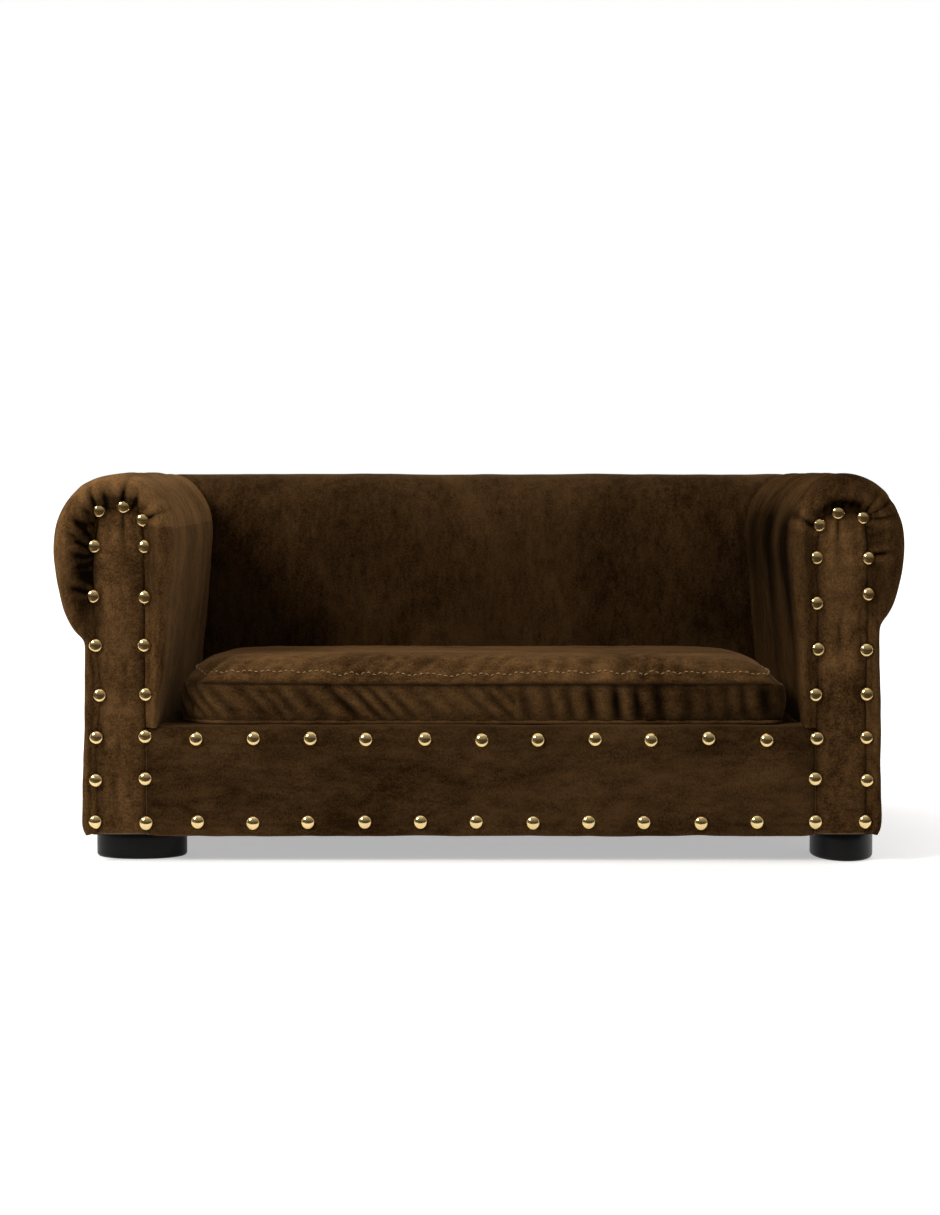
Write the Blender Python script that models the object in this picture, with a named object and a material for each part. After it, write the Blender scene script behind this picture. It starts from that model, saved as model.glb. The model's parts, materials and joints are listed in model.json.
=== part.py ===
"""Dog sofa: a small upholstered settee with rolled arms, a rolled back, brass nail trim,
oval feet and a loose seat cushion that lifts out. Millimetres here, metres in Blender."""

import math

import bmesh
import bpy

MM = 0.001
GAP = 0.3  # clearance kept between touching pieces

# Driving dimensions of the whole sofa
HALF_DEPTH = 208.5
SEAT_HALF = 268.9  # arm's inner face at the seat deck, from the centre line
BASE_Z = 24.0  # underside of the upholstery, which is the height of the feet
DECK_Z = 112.3  # top of the covered seat deck
FRONT_Y = -202.5  # outer face of the fabric on the front panels
FABRIC = 1.5
FOAM = 12.0
PLY = 12.0

# Cross-section shared by the arms and the back. u runs outward from the seat side.
BULGE = 15.7  # how far the padding leans in over the seat at the roll's height
ROLL_U, ROLL_Z = 29.1, 262.8  # centre of the roll
ROLL_IN, ROLL_OUT, ROLL_UP = 44.8, 52.3, 58.5  # its radii: inward, outward, upward
NECK_U, BASE_U = 57.1, 60.5  # outer face just under the roll, and at the floor end
UNDER_UP = 66.0  # height of the roll's underside curve
UNDER_OUT = ROLL_U + ROLL_OUT - NECK_U
BACK_Y = HALF_DEPTH - ROLL_U - ROLL_OUT  # back's inner face at the seat deck
MITRE = 0.25  # each side's clearance from the mitre where an arm meets the back
NECK_FOOT = ROLL_Z - UNDER_UP + 0.1  # padding and the back's cover stop just under the roll

# Front facing panels and nails
NAIL_IN_U, NAIL_OUT_U = 8.4, 50.4  # the two nail columns of an arm
ARCH_UP, ARCH_FOOT = 28.0, -8.0  # top and springing of the nail line's arch, from the roll's centre
ARCH_NAILS = (54, 91, 143.5)  # where the arch's nails stand, in degrees from its outer end
SEAM = 1.5  # half the open seam that the nails stand in
HEAD_R, HEAD_RISE = 6.0, 3.2
UNDER_HEAD = HEAD_R - SEAM + 0.7  # how far past its edge a cover stays flat, under the heads
SHANK_R, SHANK_DEEP = 0.9, 13.5
NAIL_SIDES = 6
HOLE_R, HOLE_SIDES = SHANK_R + 0.8, 4
RAIL_PITCH, RAIL_HALF_COUNT = 47.2, 5
RAIL_ROWS = (33.7, 102.6)
COLUMN_FOOT, COLUMN_STEP, COLUMN_COUNT = 33.1, 36.9, 7
STRIP_HALF = 2.4
STRIP_FRONT = FRONT_Y + FABRIC + GAP
POST_FRONT = STRIP_FRONT + 2.2
POST_BACK = POST_FRONT + PLY
FRAME_Z = BASE_Z + 1.5
POST_INSET = FABRIC + 0.7
FRAME_U = 49.7  # outer faces of the base frame, in the cross-section's measure
LINING_TOP, OUTER_BOARD_TOP = 235.0, 194.0
SLAT_U, SLAT_Z = (18.0, 40.0), (290.0, 304.0)
CORNER_POST_U = (25.0, 43.0)

# Seat cushion
CUSHION_HALF = 252.2
CUSHION_FRONT, CUSHION_REAR = -189.0, 105.5
CUSHION_Z = DECK_Z + 0.5
BOXING_TOP = 146.5
CROWN_Z = 167.5
ZIP_HALF = 224.7
CLOTH = 1.2

# Feet
FOOT_LONG, FOOT_SHORT = 38.0, 26.0  # half axes of the oval
FOOT_X = {"left": 286.5, "right": 305.0}
FOOT_Y = {"front": -160.0, "rear": 140.0}
BOLT_X = {"left": 286.5, "right": 302.0}  # the right bolts stand inward of centre, clear of the side rail
BOLT_R, BOLT_FROM, BOLT_TO = 4.0, 9.0, 62.0

COLOURS = {
    "velvet": ((0.075, 0.044, 0.022), 0.85, 0.0),
    "foam": ((0.78, 0.72, 0.52), 0.9, 0.0),
    "plywood": ((0.50, 0.34, 0.19), 0.7, 0.0),
    "black_plastic": ((0.012, 0.012, 0.013), 0.4, 0.0),
    "brass": ((0.80, 0.60, 0.26), 0.22, 1.0),
    "steel": ((0.45, 0.45, 0.46), 0.35, 1.0),
    "dust_cloth": ((0.02, 0.02, 0.02), 0.95, 0.0),
    "zip": ((0.05, 0.032, 0.018), 0.5, 0.0),
}


# ---------------------------------------------------------------- building blocks
def clear_scene():
    for obj in list(bpy.data.objects):
        bpy.data.objects.remove(obj)


def material(name):
    made = bpy.data.materials.get(name)
    if made is None:
        made = bpy.data.materials.new(name)
        made.use_nodes = True
        shader = made.node_tree.nodes["Principled BSDF"]
        colour, roughness, metallic = COLOURS[name]
        shader.inputs["Base Color"].default_value = (*colour, 1.0)
        shader.inputs["Roughness"].default_value = roughness
        shader.inputs["Metallic"].default_value = metallic
    return made


def loft(name, loops, finish):
    """One closed body through closed loops of (x, y, z) with equal counts, capped at both ends."""
    mesh = bmesh.new()
    rings = [[mesh.verts.new([c * MM for c in p]) for p in loop] for loop in loops]
    count = len(rings[0])
    for low, high in zip(rings, rings[1:]):
        for i in range(count):
            j = (i + 1) % count
            mesh.faces.new((low[i], low[j], high[j], high[i]))
    mesh.faces.new(rings[0][::-1])
    mesh.faces.new(rings[-1])
    bmesh.ops.recalc_face_normals(mesh, faces=mesh.faces)
    data = bpy.data.meshes.new(name)
    mesh.to_mesh(data)
    mesh.free()
    data.materials.append(material(finish))
    obj = bpy.data.objects.new(name, data)
    bpy.context.scene.collection.objects.link(obj)
    return obj


def prism(name, outline, axis, low, high, finish):
    """A flat outline pushed along an axis. Its pairs are (x, z) for Y, (y, z) for X, (x, y) for Z."""
    place = {
        "X": lambda a, b, t: (t, a, b),
        "Y": lambda a, b, t: (a, t, b),
        "Z": lambda a, b, t: (a, b, t),
    }[axis]
    return loft(name, [[place(a, b, t) for a, b in outline] for t in (low, high)], finish)


def box(name, x, y, z, finish):
    corners = [(x[0], y[0]), (x[1], y[0]), (x[1], y[1]), (x[0], y[1])]
    return prism(name, corners, "Z", z[0], z[1], finish)


def circle(cx, cy, radius, sides):
    turn = 2 * math.pi / sides
    return [(cx + radius * math.cos(i * turn), cy + radius * math.sin(i * turn)) for i in range(sides)]


def combine(obj, other, operation):
    """Cuts or joins obj with other, which is then kept as a hidden wire helper."""
    change = obj.modifiers.new(operation.lower(), "BOOLEAN")
    change.operation = operation
    change.object = other
    change.solver = "EXACT"
    other.hide_render = True
    other.display_type = "WIRE"


def smooth(obj, degrees=35):
    obj.data.shade_smooth()
    obj.data.set_sharp_from_angle(angle=math.radians(degrees))


# ---------------------------------------------------------------- the shared cross-section
def arc(cu, cz, ru, rz, start, end, steps):
    angles = [math.radians(start + (end - start) * i / steps) for i in range(steps + 1)]
    return [(cu + ru * math.cos(a), cz + rz * math.sin(a)) for a in angles]


def stem(low, high, steps):
    """Evenly spaced points from low to high, leaving high out."""
    return [
        (low[0] + (high[0] - low[0]) * i / steps, low[1] + (high[1] - low[1]) * i / steps)
        for i in range(steps)
    ]


def outer_face(z):
    """u of the outer face, which leans in from the floor end to the roll's neck."""
    return BASE_U + (NECK_U - BASE_U) * (z - BASE_Z) / (ROLL_Z - UNDER_UP - BASE_Z)


def inner_face(z):
    """u of the inner face, which leans in over the seat from the deck up."""
    return -BULGE * (z - DECK_Z) / (ROLL_Z - DECK_Z)


def roll_section(inset=0.0, foot=BASE_Z, heel=DECK_Z + GAP):
    """(u, z) points from the foot of the outer face, over the roll, to the heel of the inner face."""
    under = arc(NECK_U - inset, ROLL_Z, UNDER_OUT, UNDER_UP - inset, -90, 0, 5)
    outer = arc(ROLL_U, ROLL_Z, ROLL_OUT - inset, ROLL_UP - inset, 0, 90, 6)
    inner = arc(ROLL_U, ROLL_Z, ROLL_IN - inset, ROLL_UP - inset, 90, 180, 6)
    rise = stem((outer_face(foot) - inset, foot), under[0], 3)
    seat_end = (inner_face(heel) + inset, heel)
    fall = stem(inner[-1], seat_end, 3) + [seat_end]
    return rise + under + outer[1:] + inner[1:-1] + fall


def arch_point(degrees, spread=0.0):
    """A point of the arch that joins the nail columns, a squared-off half ellipse."""
    centre = (NAIL_IN_U + NAIL_OUT_U) / 2
    half = (NAIL_OUT_U - NAIL_IN_U) / 2 + spread
    across, up = math.cos(math.radians(degrees)), max(math.sin(math.radians(degrees)), 0.0)
    u = centre + half * math.copysign(math.sqrt(abs(across)), across)
    return (u, ROLL_Z + ARCH_FOOT + (ARCH_UP - ARCH_FOOT + spread) * math.sqrt(up))


def nail_line(spread=0.0):
    """As many points as roll_section has, on the arm's nail line moved outward by spread."""
    found = []
    section = roll_section()
    roll_start = 3 + 5  # points before the roll's outermost one
    roll_end = roll_start + 12
    for i, (_, z) in enumerate(section):
        if roll_start <= i <= roll_end:
            found.append(arch_point(180 * (i - roll_start) / (roll_end - roll_start), spread))
        else:
            column = NAIL_OUT_U + spread if i < roll_start else NAIL_IN_U - spread
            found.append((column, min(z, ROLL_Z + ARCH_FOOT)))
    return found


def on_arm(points, side):
    return [(side * (SEAT_HALF + u), z) for u, z in points]


def arm_run(name, outline, side, finish):
    """A cross-section outline run from the front post back to the mitred corner."""
    fore = [(side * (SEAT_HALF + u), POST_BACK + GAP, z) for u, z in outline]
    aft = [(side * (SEAT_HALF + u), BACK_Y + u - MITRE, z) for u, z in outline]
    return loft(name, [fore, aft], finish)


def back_run(name, outline, finish):
    """A cross-section outline run across the back, mitred at both corners."""
    ends = [
        [(side * (SEAT_HALF + u - MITRE), BACK_Y + u, z) for u, z in outline] for side in (-1, 1)
    ]
    return loft(name, ends, finish)


def shell_outline(outer_inset, inner_inset, foot, heel):
    """The closed cross-section of a padding layer between two insets."""
    outer = roll_section(outer_inset, foot, heel)
    inner = roll_section(inner_inset, foot, heel)
    return outer + inner[::-1]


# ---------------------------------------------------------------- wooden frame
def build_base(nail_holes):
    frame_front, frame_rear = POST_BACK + GAP, BACK_Y + FRAME_U
    half = SEAT_HALF + FRAME_U
    rail_top = DECK_Z - 4.3
    deck_low = rail_top - PLY
    rail_half = SEAT_HALF + POST_INSET - GAP
    rail_depth = (POST_FRONT, POST_BACK)
    front = box("front_rail_board", (-rail_half, rail_half), rail_depth, (FRAME_Z, rail_top), "plywood")
    combine(front, nail_holes, "DIFFERENCE")
    box("deck_board", (-half, half), (frame_front, frame_rear), (deck_low, rail_top), "plywood")
    under = (FRAME_Z, deck_low - GAP)
    side_in = half - PLY
    for name, side in (("left", -1), ("right", 1)):
        edges = sorted((side * side_in, side * half))
        box(f"side_rail_{name}", edges, (frame_front, frame_rear), under, "plywood")
    inner = side_in - GAP
    box("rear_rail_board", (-inner, inner), (frame_rear - PLY, frame_rear), under, "plywood")
    centre_rear = frame_rear - PLY - GAP
    box("centre_rail", (-PLY, PLY), (frame_front, centre_rear), (60.0, deck_low - GAP), "plywood")


def build_corner_blocks(bolt_holes):
    top = 80.0
    spans = {"front": (POST_BACK + GAP, -118.0), "rear": (106.0, BACK_Y + FRAME_U - PLY - GAP)}
    for end, span in spans.items():
        for name, side in (("left", -1), ("right", 1)):
            edges = sorted((side * 258.0, side * 306.3))
            block = box(f"corner_block_{end}_{name}", edges, span, (FRAME_Z, top), "plywood")
            combine(block, bolt_holes, "DIFFERENCE")


def lining_board():
    """Cross-section of the board behind the seat-side padding of an arm or of the back."""
    behind, thick, foot = FABRIC + GAP + FOAM + GAP, 9.0, DECK_Z - 4.0
    low, high = inner_face(foot) + behind, inner_face(LINING_TOP) + behind
    return [(low, foot), (low + thick, foot), (high + thick, LINING_TOP), (high, LINING_TOP)]


def outer_board():
    """Cross-section of the hardboard under the outer fabric of an arm or of the back."""
    skin, thick = FABRIC + GAP, 5.0
    low, high = outer_face(FRAME_Z) - skin, outer_face(OUTER_BOARD_TOP) - skin
    outside = [(low, FRAME_Z), (high, OUTER_BOARD_TOP)]
    return outside + [(u - thick, z) for u, z in outside[::-1]]


def build_arm_frame(name, side, nail_holes):
    outline = roll_section(POST_INSET, FRAME_Z) + [(POST_INSET, FRAME_Z)]
    post = prism(f"arm_front_post_{name}", on_arm(outline, side), "Y", POST_FRONT, POST_BACK, "plywood")
    combine(post, nail_holes, "DIFFERENCE")
    arm_run(f"arm_inner_board_{name}", lining_board(), side, "plywood")
    arm_run(f"arm_outer_board_{name}", outer_board(), side, "plywood")
    slat = sorted(side * (SEAT_HALF + u) for u in SLAT_U)
    box(f"arm_top_slat_{name}", slat, (POST_BACK + GAP, BACK_Y + SLAT_U[0] - GAP), SLAT_Z, "plywood")
    corner_x = sorted(side * (SEAT_HALF + u) for u in CORNER_POST_U)
    corner_y = [BACK_Y + u for u in CORNER_POST_U]
    stand = (DECK_Z - 4.0, SLAT_Z[0] - GAP)
    box(f"rear_corner_post_{name}", corner_x, corner_y, stand, "plywood")


def build_back_frame():
    back_run("back_board", lining_board(), "plywood")
    back_run("back_outer_board", outer_board(), "plywood")
    half = SEAT_HALF + SLAT_U[1]
    box("back_top_slat", (-half, half), [BACK_Y + u for u in SLAT_U], SLAT_Z, "plywood")


# ---------------------------------------------------------------- padding
def build_padding():
    skin = FABRIC + GAP
    layer = shell_outline(skin, skin + FOAM, NECK_FOOT, DECK_Z + GAP)
    for name, side in (("left", -1), ("right", 1)):
        smooth(arm_run(f"arm_foam_{name}", layer, side, "foam"))
    smooth(back_run("back_foam", layer, "foam"))
    box("rail_wadding", (-262.0, 262.0), (STRIP_FRONT, POST_FRONT - GAP), (42.0, 94.0), "foam")
    box("deck_wadding", (-266.0, 266.0), (-166.0, 124.0), (DECK_Z - 4.0, DECK_Z - 1.8), "foam")


# ---------------------------------------------------------------- fabric covers
def build_arm_cover(name, side):
    """Fabric from the outer foot, over the roll, to the seat, turned in at the front to the nails."""
    outer, inner = roll_section(0.0), roll_section(FABRIC)
    lip = nail_line(SEAM)
    puff_most = HALF_DEPTH + FRONT_Y
    loops = []
    for (u, z), (iu, iz), (lu, lz) in zip(outer, inner, lip):
        reach = math.hypot(u - lu, z - lz)
        flat = min(UNDER_HEAD, 0.8 * reach) / reach
        rest = 1.0 - flat
        puff = min(puff_most, 0.3 * rest * reach)

        def station(y, share, edge, lip_u=lu, lip_z=lz):
            across, up = (edge[0] - lip_u) * share, (edge[1] - lip_z) * share
            return (side * (SEAT_HALF + lip_u + across), y, lip_z + up)

        out, tucked = (u, z), (iu, iz)
        loops.append(
            [
                station(FRONT_Y, 0.0, out),
                station(FRONT_Y, flat, out),
                station(FRONT_Y - 0.8 * puff, flat + 0.35 * rest, out),
                station(FRONT_Y - puff, flat + 0.7 * rest, out),
                station(FRONT_Y - 0.5 * puff, flat + 0.94 * rest, out),
                station(FRONT_Y + 3.0, 1.0, out),
                station(BACK_Y + u - MITRE, 1.0, out),
                station(BACK_Y + iu - MITRE, 1.0, tucked),
                station(FRONT_Y + 3.6, 1.0, tucked),
                station(FRONT_Y + FABRIC - 0.5 * puff, flat + 0.9 * rest, tucked),
                station(FRONT_Y + FABRIC - puff, flat + 0.68 * rest, tucked),
                station(FRONT_Y + FABRIC - 0.8 * puff, flat + 0.35 * rest, tucked),
                station(FRONT_Y + FABRIC, flat, tucked),
                station(FRONT_Y + FABRIC, 0.0, tucked),
            ]
        )
    smooth(loft(f"arm_cover_{name}", loops, "velvet"))


def build_arm_panel(name, side):
    outline = nail_line(-SEAM)
    edge_in, edge_out = outline[-1][0], outline[0][0]
    outline = outline + [(edge_in, BASE_Z + 1.0), (edge_out, BASE_Z + 1.0)]
    kept = [p for p, following in zip(outline, outline[1:] + outline[:1]) if math.dist(p, following) > 0.2]
    prism(f"arm_front_panel_{name}", on_arm(kept, side), "Y", FRONT_Y, FRONT_Y + FABRIC, "velvet")


def post_notches():
    """What the front posts fill behind the ends of the rail's cover, as one cutter."""
    notches = []
    depth, height = (FRONT_Y + FABRIC + 0.1, -150.0), (90.0, 120.0)
    for side in (-1, 1):
        edges = sorted((side * (SEAT_HALF + POST_INSET - GAP), side * 300.0))
        notches.append(box(f"notch_{side}", edges, depth, height, "steel"))
    return joined("post_notches", notches)


def build_rail_cover(nail_holes):
    """An angle of fabric: down the front of the rail and back over its top."""
    corner, half = 6.0, SEAT_HALF + NAIL_IN_U - SEAM
    outer = arc(FRONT_Y + corner, DECK_Z - corner, corner, corner, 180, 90, 4)
    tight = corner - FABRIC
    inner = arc(FRONT_Y + corner, DECK_Z - corner, tight, tight, 90, 180, 4)
    turned_in = -168.0
    outline = [(FRONT_Y, BASE_Z), *outer, (turned_in, DECK_Z), (turned_in, DECK_Z - FABRIC), *inner]
    outline.append((FRONT_Y + FABRIC, BASE_Z))
    cover = prism("front_rail_cover", outline, "X", -half, half, "velvet")
    combine(cover, nail_holes, "DIFFERENCE")
    combine(cover, post_notches(), "DIFFERENCE")
    smooth(cover)


def build_back_covers():
    layer = shell_outline(0.0, FABRIC, NECK_FOOT, DECK_Z + GAP)
    smooth(back_run("back_cover", layer, "velvet"))
    foot, top = BASE_Z, NECK_FOOT - GAP
    low, high = outer_face(foot), outer_face(top)
    panel = [(low - FABRIC, foot), (low, foot), (high, top), (high - FABRIC, top)]
    back_run("outer_back_panel", panel, "velvet")


def build_flat_cloths(bolt_holes):
    half, thickness = SEAT_HALF - 1.0, (DECK_Z - FABRIC, DECK_Z)
    box("deck_cover", (-half, half), (-167.7, BACK_Y - 1.0), thickness, "velvet")
    dust = box("dust_cover", (-322.0, 322.0), (POST_FRONT, 182.0), (BASE_Z, BASE_Z + 1.2), "dust_cloth")
    combine(dust, bolt_holes, "DIFFERENCE")


# ---------------------------------------------------------------- nails
def nail(name, x, z):
    """A domed head standing on the fabric, with a shank into the wood."""
    seat = FRONT_Y - GAP
    loops = []
    for turn in (70, 38):
        angle = math.radians(turn)
        ring = circle(x, z, HEAD_R * math.cos(angle), NAIL_SIDES)
        loops.append([(a, seat - HEAD_RISE * math.sin(angle), b) for a, b in ring])
    loops.append([(a, seat, b) for a, b in circle(x, z, HEAD_R, NAIL_SIDES)])
    shank = circle(x, z, SHANK_R, NAIL_SIDES)
    loops.append([(a, seat, b) for a, b in shank])
    loops.append([(a, seat + SHANK_DEEP, b) for a, b in shank])
    return loft(name, loops, "brass")


def arm_nail_spots():
    """(u, z) of an arm's seventeen nails: two columns and three round the arch."""
    columns = [
        (u, COLUMN_FOOT + i * COLUMN_STEP) for u in (NAIL_IN_U, NAIL_OUT_U) for i in range(COLUMN_COUNT)
    ]
    return columns + [arch_point(degrees) for degrees in ARCH_NAILS]


def rail_nail_spots(row):
    return [(i * RAIL_PITCH, row) for i in range(-RAIL_HALF_COUNT, RAIL_HALF_COUNT + 1)]


def joined(name, objects):
    """Several separate bodies as one object."""
    mesh = bmesh.new()
    for obj in objects:
        mesh.from_mesh(obj.data)
    data = bpy.data.meshes.new(name)
    mesh.to_mesh(data)
    mesh.free()
    data.materials.append(objects[0].data.materials[0])
    for obj in objects:
        bpy.data.objects.remove(obj)
    made = bpy.data.objects.new(name, data)
    bpy.context.scene.collection.objects.link(made)
    return made


def build_nails(name, spots, strip):
    """A row of nails held together by the tack strip behind the fabric."""
    nails = joined(name + "_heads", [nail(f"{name}_{i}", x, z) for i, (x, z) in enumerate(spots)])
    strip.name = name
    combine(strip, nails, "UNION")


def build_all_nails():
    strip = (STRIP_FRONT, POST_FRONT - GAP)
    for name, side in (("left", -1), ("right", 1)):
        foot = COLUMN_FOOT - 3.0
        outline = nail_line(STRIP_HALF) + nail_line(-STRIP_HALF)[::-1]
        outline = [(u, max(z, foot)) for u, z in outline]
        heel_out = (NAIL_IN_U - STRIP_HALF, foot)
        heel_in = (NAIL_IN_U + STRIP_HALF, foot)
        count = len(nail_line())
        outline = outline[:count] + [heel_out, heel_in] + outline[count:]
        ribbon = prism("ribbon", on_arm(outline, side), "Y", *strip, "brass")
        build_nails(f"arm_nails_{name}", on_arm(arm_nail_spots(), side), ribbon)
    reach = RAIL_PITCH * RAIL_HALF_COUNT + 4.0
    for name, row in zip(("bottom", "top"), RAIL_ROWS):
        ribbon = box("ribbon", (-reach, reach), strip, (row - STRIP_HALF, row + STRIP_HALF), "brass")
        build_nails(f"rail_nails_{name}", rail_nail_spots(row), ribbon)


def nail_hole_cutter():
    """Pilot holes for every nail, as one cutter."""
    spots = [spot for row in RAIL_ROWS for spot in rail_nail_spots(row)]
    for side in (-1, 1):
        spots += on_arm(arm_nail_spots(), side)
    low, high = FRONT_Y - 3.0, FRONT_Y + SHANK_DEEP + 0.8
    holes = [
        prism(f"hole_{i}", circle(x, z, HOLE_R, HOLE_SIDES), "Y", low, high, "steel")
        for i, (x, z) in enumerate(spots)
    ]
    cutter = joined("nail_holes", holes)
    cutter.hide_render = True
    cutter.display_type = "WIRE"
    return cutter


# ---------------------------------------------------------------- feet
def foot_spots():
    """Each foot's name, centre, bolt and whether it stands across."""
    for end, y in FOOT_Y.items():
        for name, side in (("left", -1), ("right", 1)):
            yield f"{end}_{name}", side * FOOT_X[name], y, side * BOLT_X[name], name == "left"


def bolt_hole_cutter():
    holes = [
        prism(f"bore_{name}", circle(bolt_x, y, BOLT_R + 0.5, 12), "Z", BOLT_FROM - 0.5, BOLT_TO + 1.0, "steel")
        for name, _, y, bolt_x, _ in foot_spots()
    ]
    cutter = joined("bolt_holes", holes)
    cutter.hide_render = True
    cutter.display_type = "WIRE"
    return cutter


def build_feet(bolt_holes):
    """The same oval foot on one bolt each. The left ones stand across, the right ones fore and aft."""
    sides = 28
    for name, x, y, bolt_x, across in foot_spots():
        long_x, long_y = (FOOT_LONG, FOOT_SHORT) if across else (FOOT_SHORT, FOOT_LONG)
        loops = []
        for inset, z in ((3.0, 0.0), (0.9, 0.9), (0.0, 3.0), (0.0, BASE_Z - GAP)):
            angles = [2 * math.pi * i / sides for i in range(sides)]
            loops.append(
                [(x + (long_x - inset) * math.cos(a), y + (long_y - inset) * math.sin(a), z) for a in angles]
            )
        foot = loft(f"foot_{name}", loops, "black_plastic")
        combine(foot, bolt_holes, "DIFFERENCE")
        smooth(foot)
        bolt = prism(f"foot_bolt_{name}", circle(bolt_x, y, BOLT_R, 12), "Z", BOLT_FROM, BOLT_TO, "steel")
        smooth(bolt)


# ---------------------------------------------------------------- seat cushion
def cushion_plan(inset):
    """Rounded rectangle, from the rear right corner round by the rear, left and front."""
    radius = {1: 22.0, -1: 34.0}
    points = []
    for sx, sy, start in ((1, 1, 0), (-1, 1, 90), (-1, -1, 180), (1, -1, 270)):
        r = max(radius[sy] - inset, 2.0)
        cx = sx * (CUSHION_HALF - inset - r)
        edge = CUSHION_REAR - inset - r if sy > 0 else CUSHION_FRONT + inset + r
        points += arc(cx, edge, r, r, start, start + 90, 5)
    return points


def plan_at(inset, z):
    return [(x, y, z) for x, y in cushion_plan(inset)]


def build_cushion():
    low = CUSHION_Z + CLOTH + GAP
    seam_z = BOXING_TOP + GAP
    crown = ((0.0, 0.0), (5.0, 0.42), (26.0, 0.78), (78.0, 1.0))
    rise = CROWN_Z - seam_z
    skin = CLOTH + GAP
    foam_rings = [plan_at(skin, low)]
    foam_rings += [plan_at(skin + inset, seam_z - skin + share * rise) for inset, share in crown]
    smooth(loft("cushion_core", foam_rings, "foam"))
    prism("cushion_bottom_panel", cushion_plan(0.0), "Z", CUSHION_Z, CUSHION_Z + CLOTH, "velvet")
    under = []
    for inset, share in crown:
        thickness = CLOTH * min(1.0, share * 3)
        under.append(plan_at(inset + CLOTH, seam_z + share * rise - thickness))
    over = [plan_at(inset, seam_z + share * rise) for inset, share in crown]
    smooth(loft("cushion_top_panel", under[::-1] + over, "velvet"))
    build_boxing(low)


def build_boxing(low):
    """The side band, and the zip strip that closes it along the rear."""
    ends = ZIP_HALF + GAP
    outer = cushion_plan(0.0)[6:] + cushion_plan(0.0)[:6]
    inner = cushion_plan(CLOTH)[6:] + cushion_plan(CLOTH)[:6]
    rear = CUSHION_REAR
    outer = [(-ends, rear), *outer, (ends, rear)]
    inner = [(-ends, rear - CLOTH), *inner, (ends, rear - CLOTH)]
    smooth(prism("cushion_boxing", outer + inner[::-1], "Z", low, BOXING_TOP, "velvet"))
    middle = (low + BOXING_TOP) / 2
    tooth, rib = 1.5, rear + 1.0
    strip = [(rear - CLOTH, low), (rear, low), (rear, middle - tooth), (rib, middle - tooth)]
    strip += [(rib, middle + tooth), (rear, middle + tooth)]
    strip += [(rear, BOXING_TOP), (rear - CLOTH, BOXING_TOP)]
    prism("cushion_zip_strip", strip, "X", -ZIP_HALF, ZIP_HALF, "zip")
    build_zip_slider(rear, rib, middle, tooth)


def build_zip_slider(rear, rib, middle, tooth):
    """A plain slider with no pull tab, straddling the teeth at the closed end."""
    near, far, half = rear + GAP, rear + 3.7, 5.5
    channel = tooth + GAP
    outline = [(near, middle - half), (far, middle - half), (far, middle + half), (near, middle + half)]
    outline += [(near, middle + channel), (rib + 0.4, middle + channel)]
    outline += [(rib + 0.4, middle - channel), (near, middle - channel)]
    start = -ZIP_HALF + 4.0
    prism("zip_slider", outline, "X", start, start + 10.0, "brass")


def main():
    clear_scene()
    nail_holes = nail_hole_cutter()
    bolt_holes = bolt_hole_cutter()
    build_base(nail_holes)
    build_corner_blocks(bolt_holes)
    for name, side in (("left", -1), ("right", 1)):
        build_arm_frame(name, side, nail_holes)
        build_arm_cover(name, side)
        build_arm_panel(name, side)
    build_back_frame()
    build_padding()
    build_rail_cover(nail_holes)
    build_back_covers()
    build_flat_cloths(bolt_holes)
    build_all_nails()
    build_feet(bolt_holes)
    build_cushion()


main()
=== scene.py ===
"""The looks of the pet sofa: velvet covers, a stuffed seat cushion, brass nails, oval feet and a plain studio.
Lengths are in metres. Across an arm, u runs outward from its seat side; across the back it runs to the rear."""

import json
import math
import random

import bmesh
import bpy
import numpy as np
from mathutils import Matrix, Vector, noise


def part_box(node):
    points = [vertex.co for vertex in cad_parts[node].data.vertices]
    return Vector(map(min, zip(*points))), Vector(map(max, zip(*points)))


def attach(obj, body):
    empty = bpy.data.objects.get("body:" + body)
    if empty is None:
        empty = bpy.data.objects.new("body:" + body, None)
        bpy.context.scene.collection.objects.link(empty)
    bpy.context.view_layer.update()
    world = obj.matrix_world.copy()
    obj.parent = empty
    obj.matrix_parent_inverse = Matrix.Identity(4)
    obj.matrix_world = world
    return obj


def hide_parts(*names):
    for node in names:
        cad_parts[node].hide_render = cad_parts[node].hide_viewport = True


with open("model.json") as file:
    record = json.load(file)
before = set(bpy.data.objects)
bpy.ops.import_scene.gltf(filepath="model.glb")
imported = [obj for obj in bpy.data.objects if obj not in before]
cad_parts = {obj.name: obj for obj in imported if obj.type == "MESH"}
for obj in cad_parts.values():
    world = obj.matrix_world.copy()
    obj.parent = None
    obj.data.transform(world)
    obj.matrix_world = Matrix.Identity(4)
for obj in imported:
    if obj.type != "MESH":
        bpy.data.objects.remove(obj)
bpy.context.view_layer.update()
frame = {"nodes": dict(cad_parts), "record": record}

# ---------------------------------------------------------------- sizes read from the frame
DECK_LOW, DECK_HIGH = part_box("deck_cover")
SEAT_X = DECK_HIGH.x + 0.001  # inner face of an arm at the seat deck
BACK_Y = DECK_HIGH.y + 0.001  # the same for the back
DECK_Z = DECK_HIGH.z
RAIL_LOW, RAIL_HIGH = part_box("front_rail_cover")
FRONT_Y, BASE_Z = RAIL_LOW.y, RAIL_LOW.z
ARM_LOW, ARM_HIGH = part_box("arm_cover_right")
OUTER_LOW, OUTER_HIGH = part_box("outer_back_panel")
NECK_Z = OUTER_HIGH.z + 0.0002  # where the roll meets the outer face
NECK_U = OUTER_LOW.y + 0.0015 - BACK_Y
BASE_U = OUTER_HIGH.y - BACK_Y
BULGE = SEAT_X - ARM_LOW.x  # how far the roll stands in over the seat
OUT_U = ARM_HIGH.x - SEAT_X
NAIL_R = 0.006  # of the heads in the frame
NAILS_LOW, NAILS_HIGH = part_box("arm_nails_right")
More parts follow.
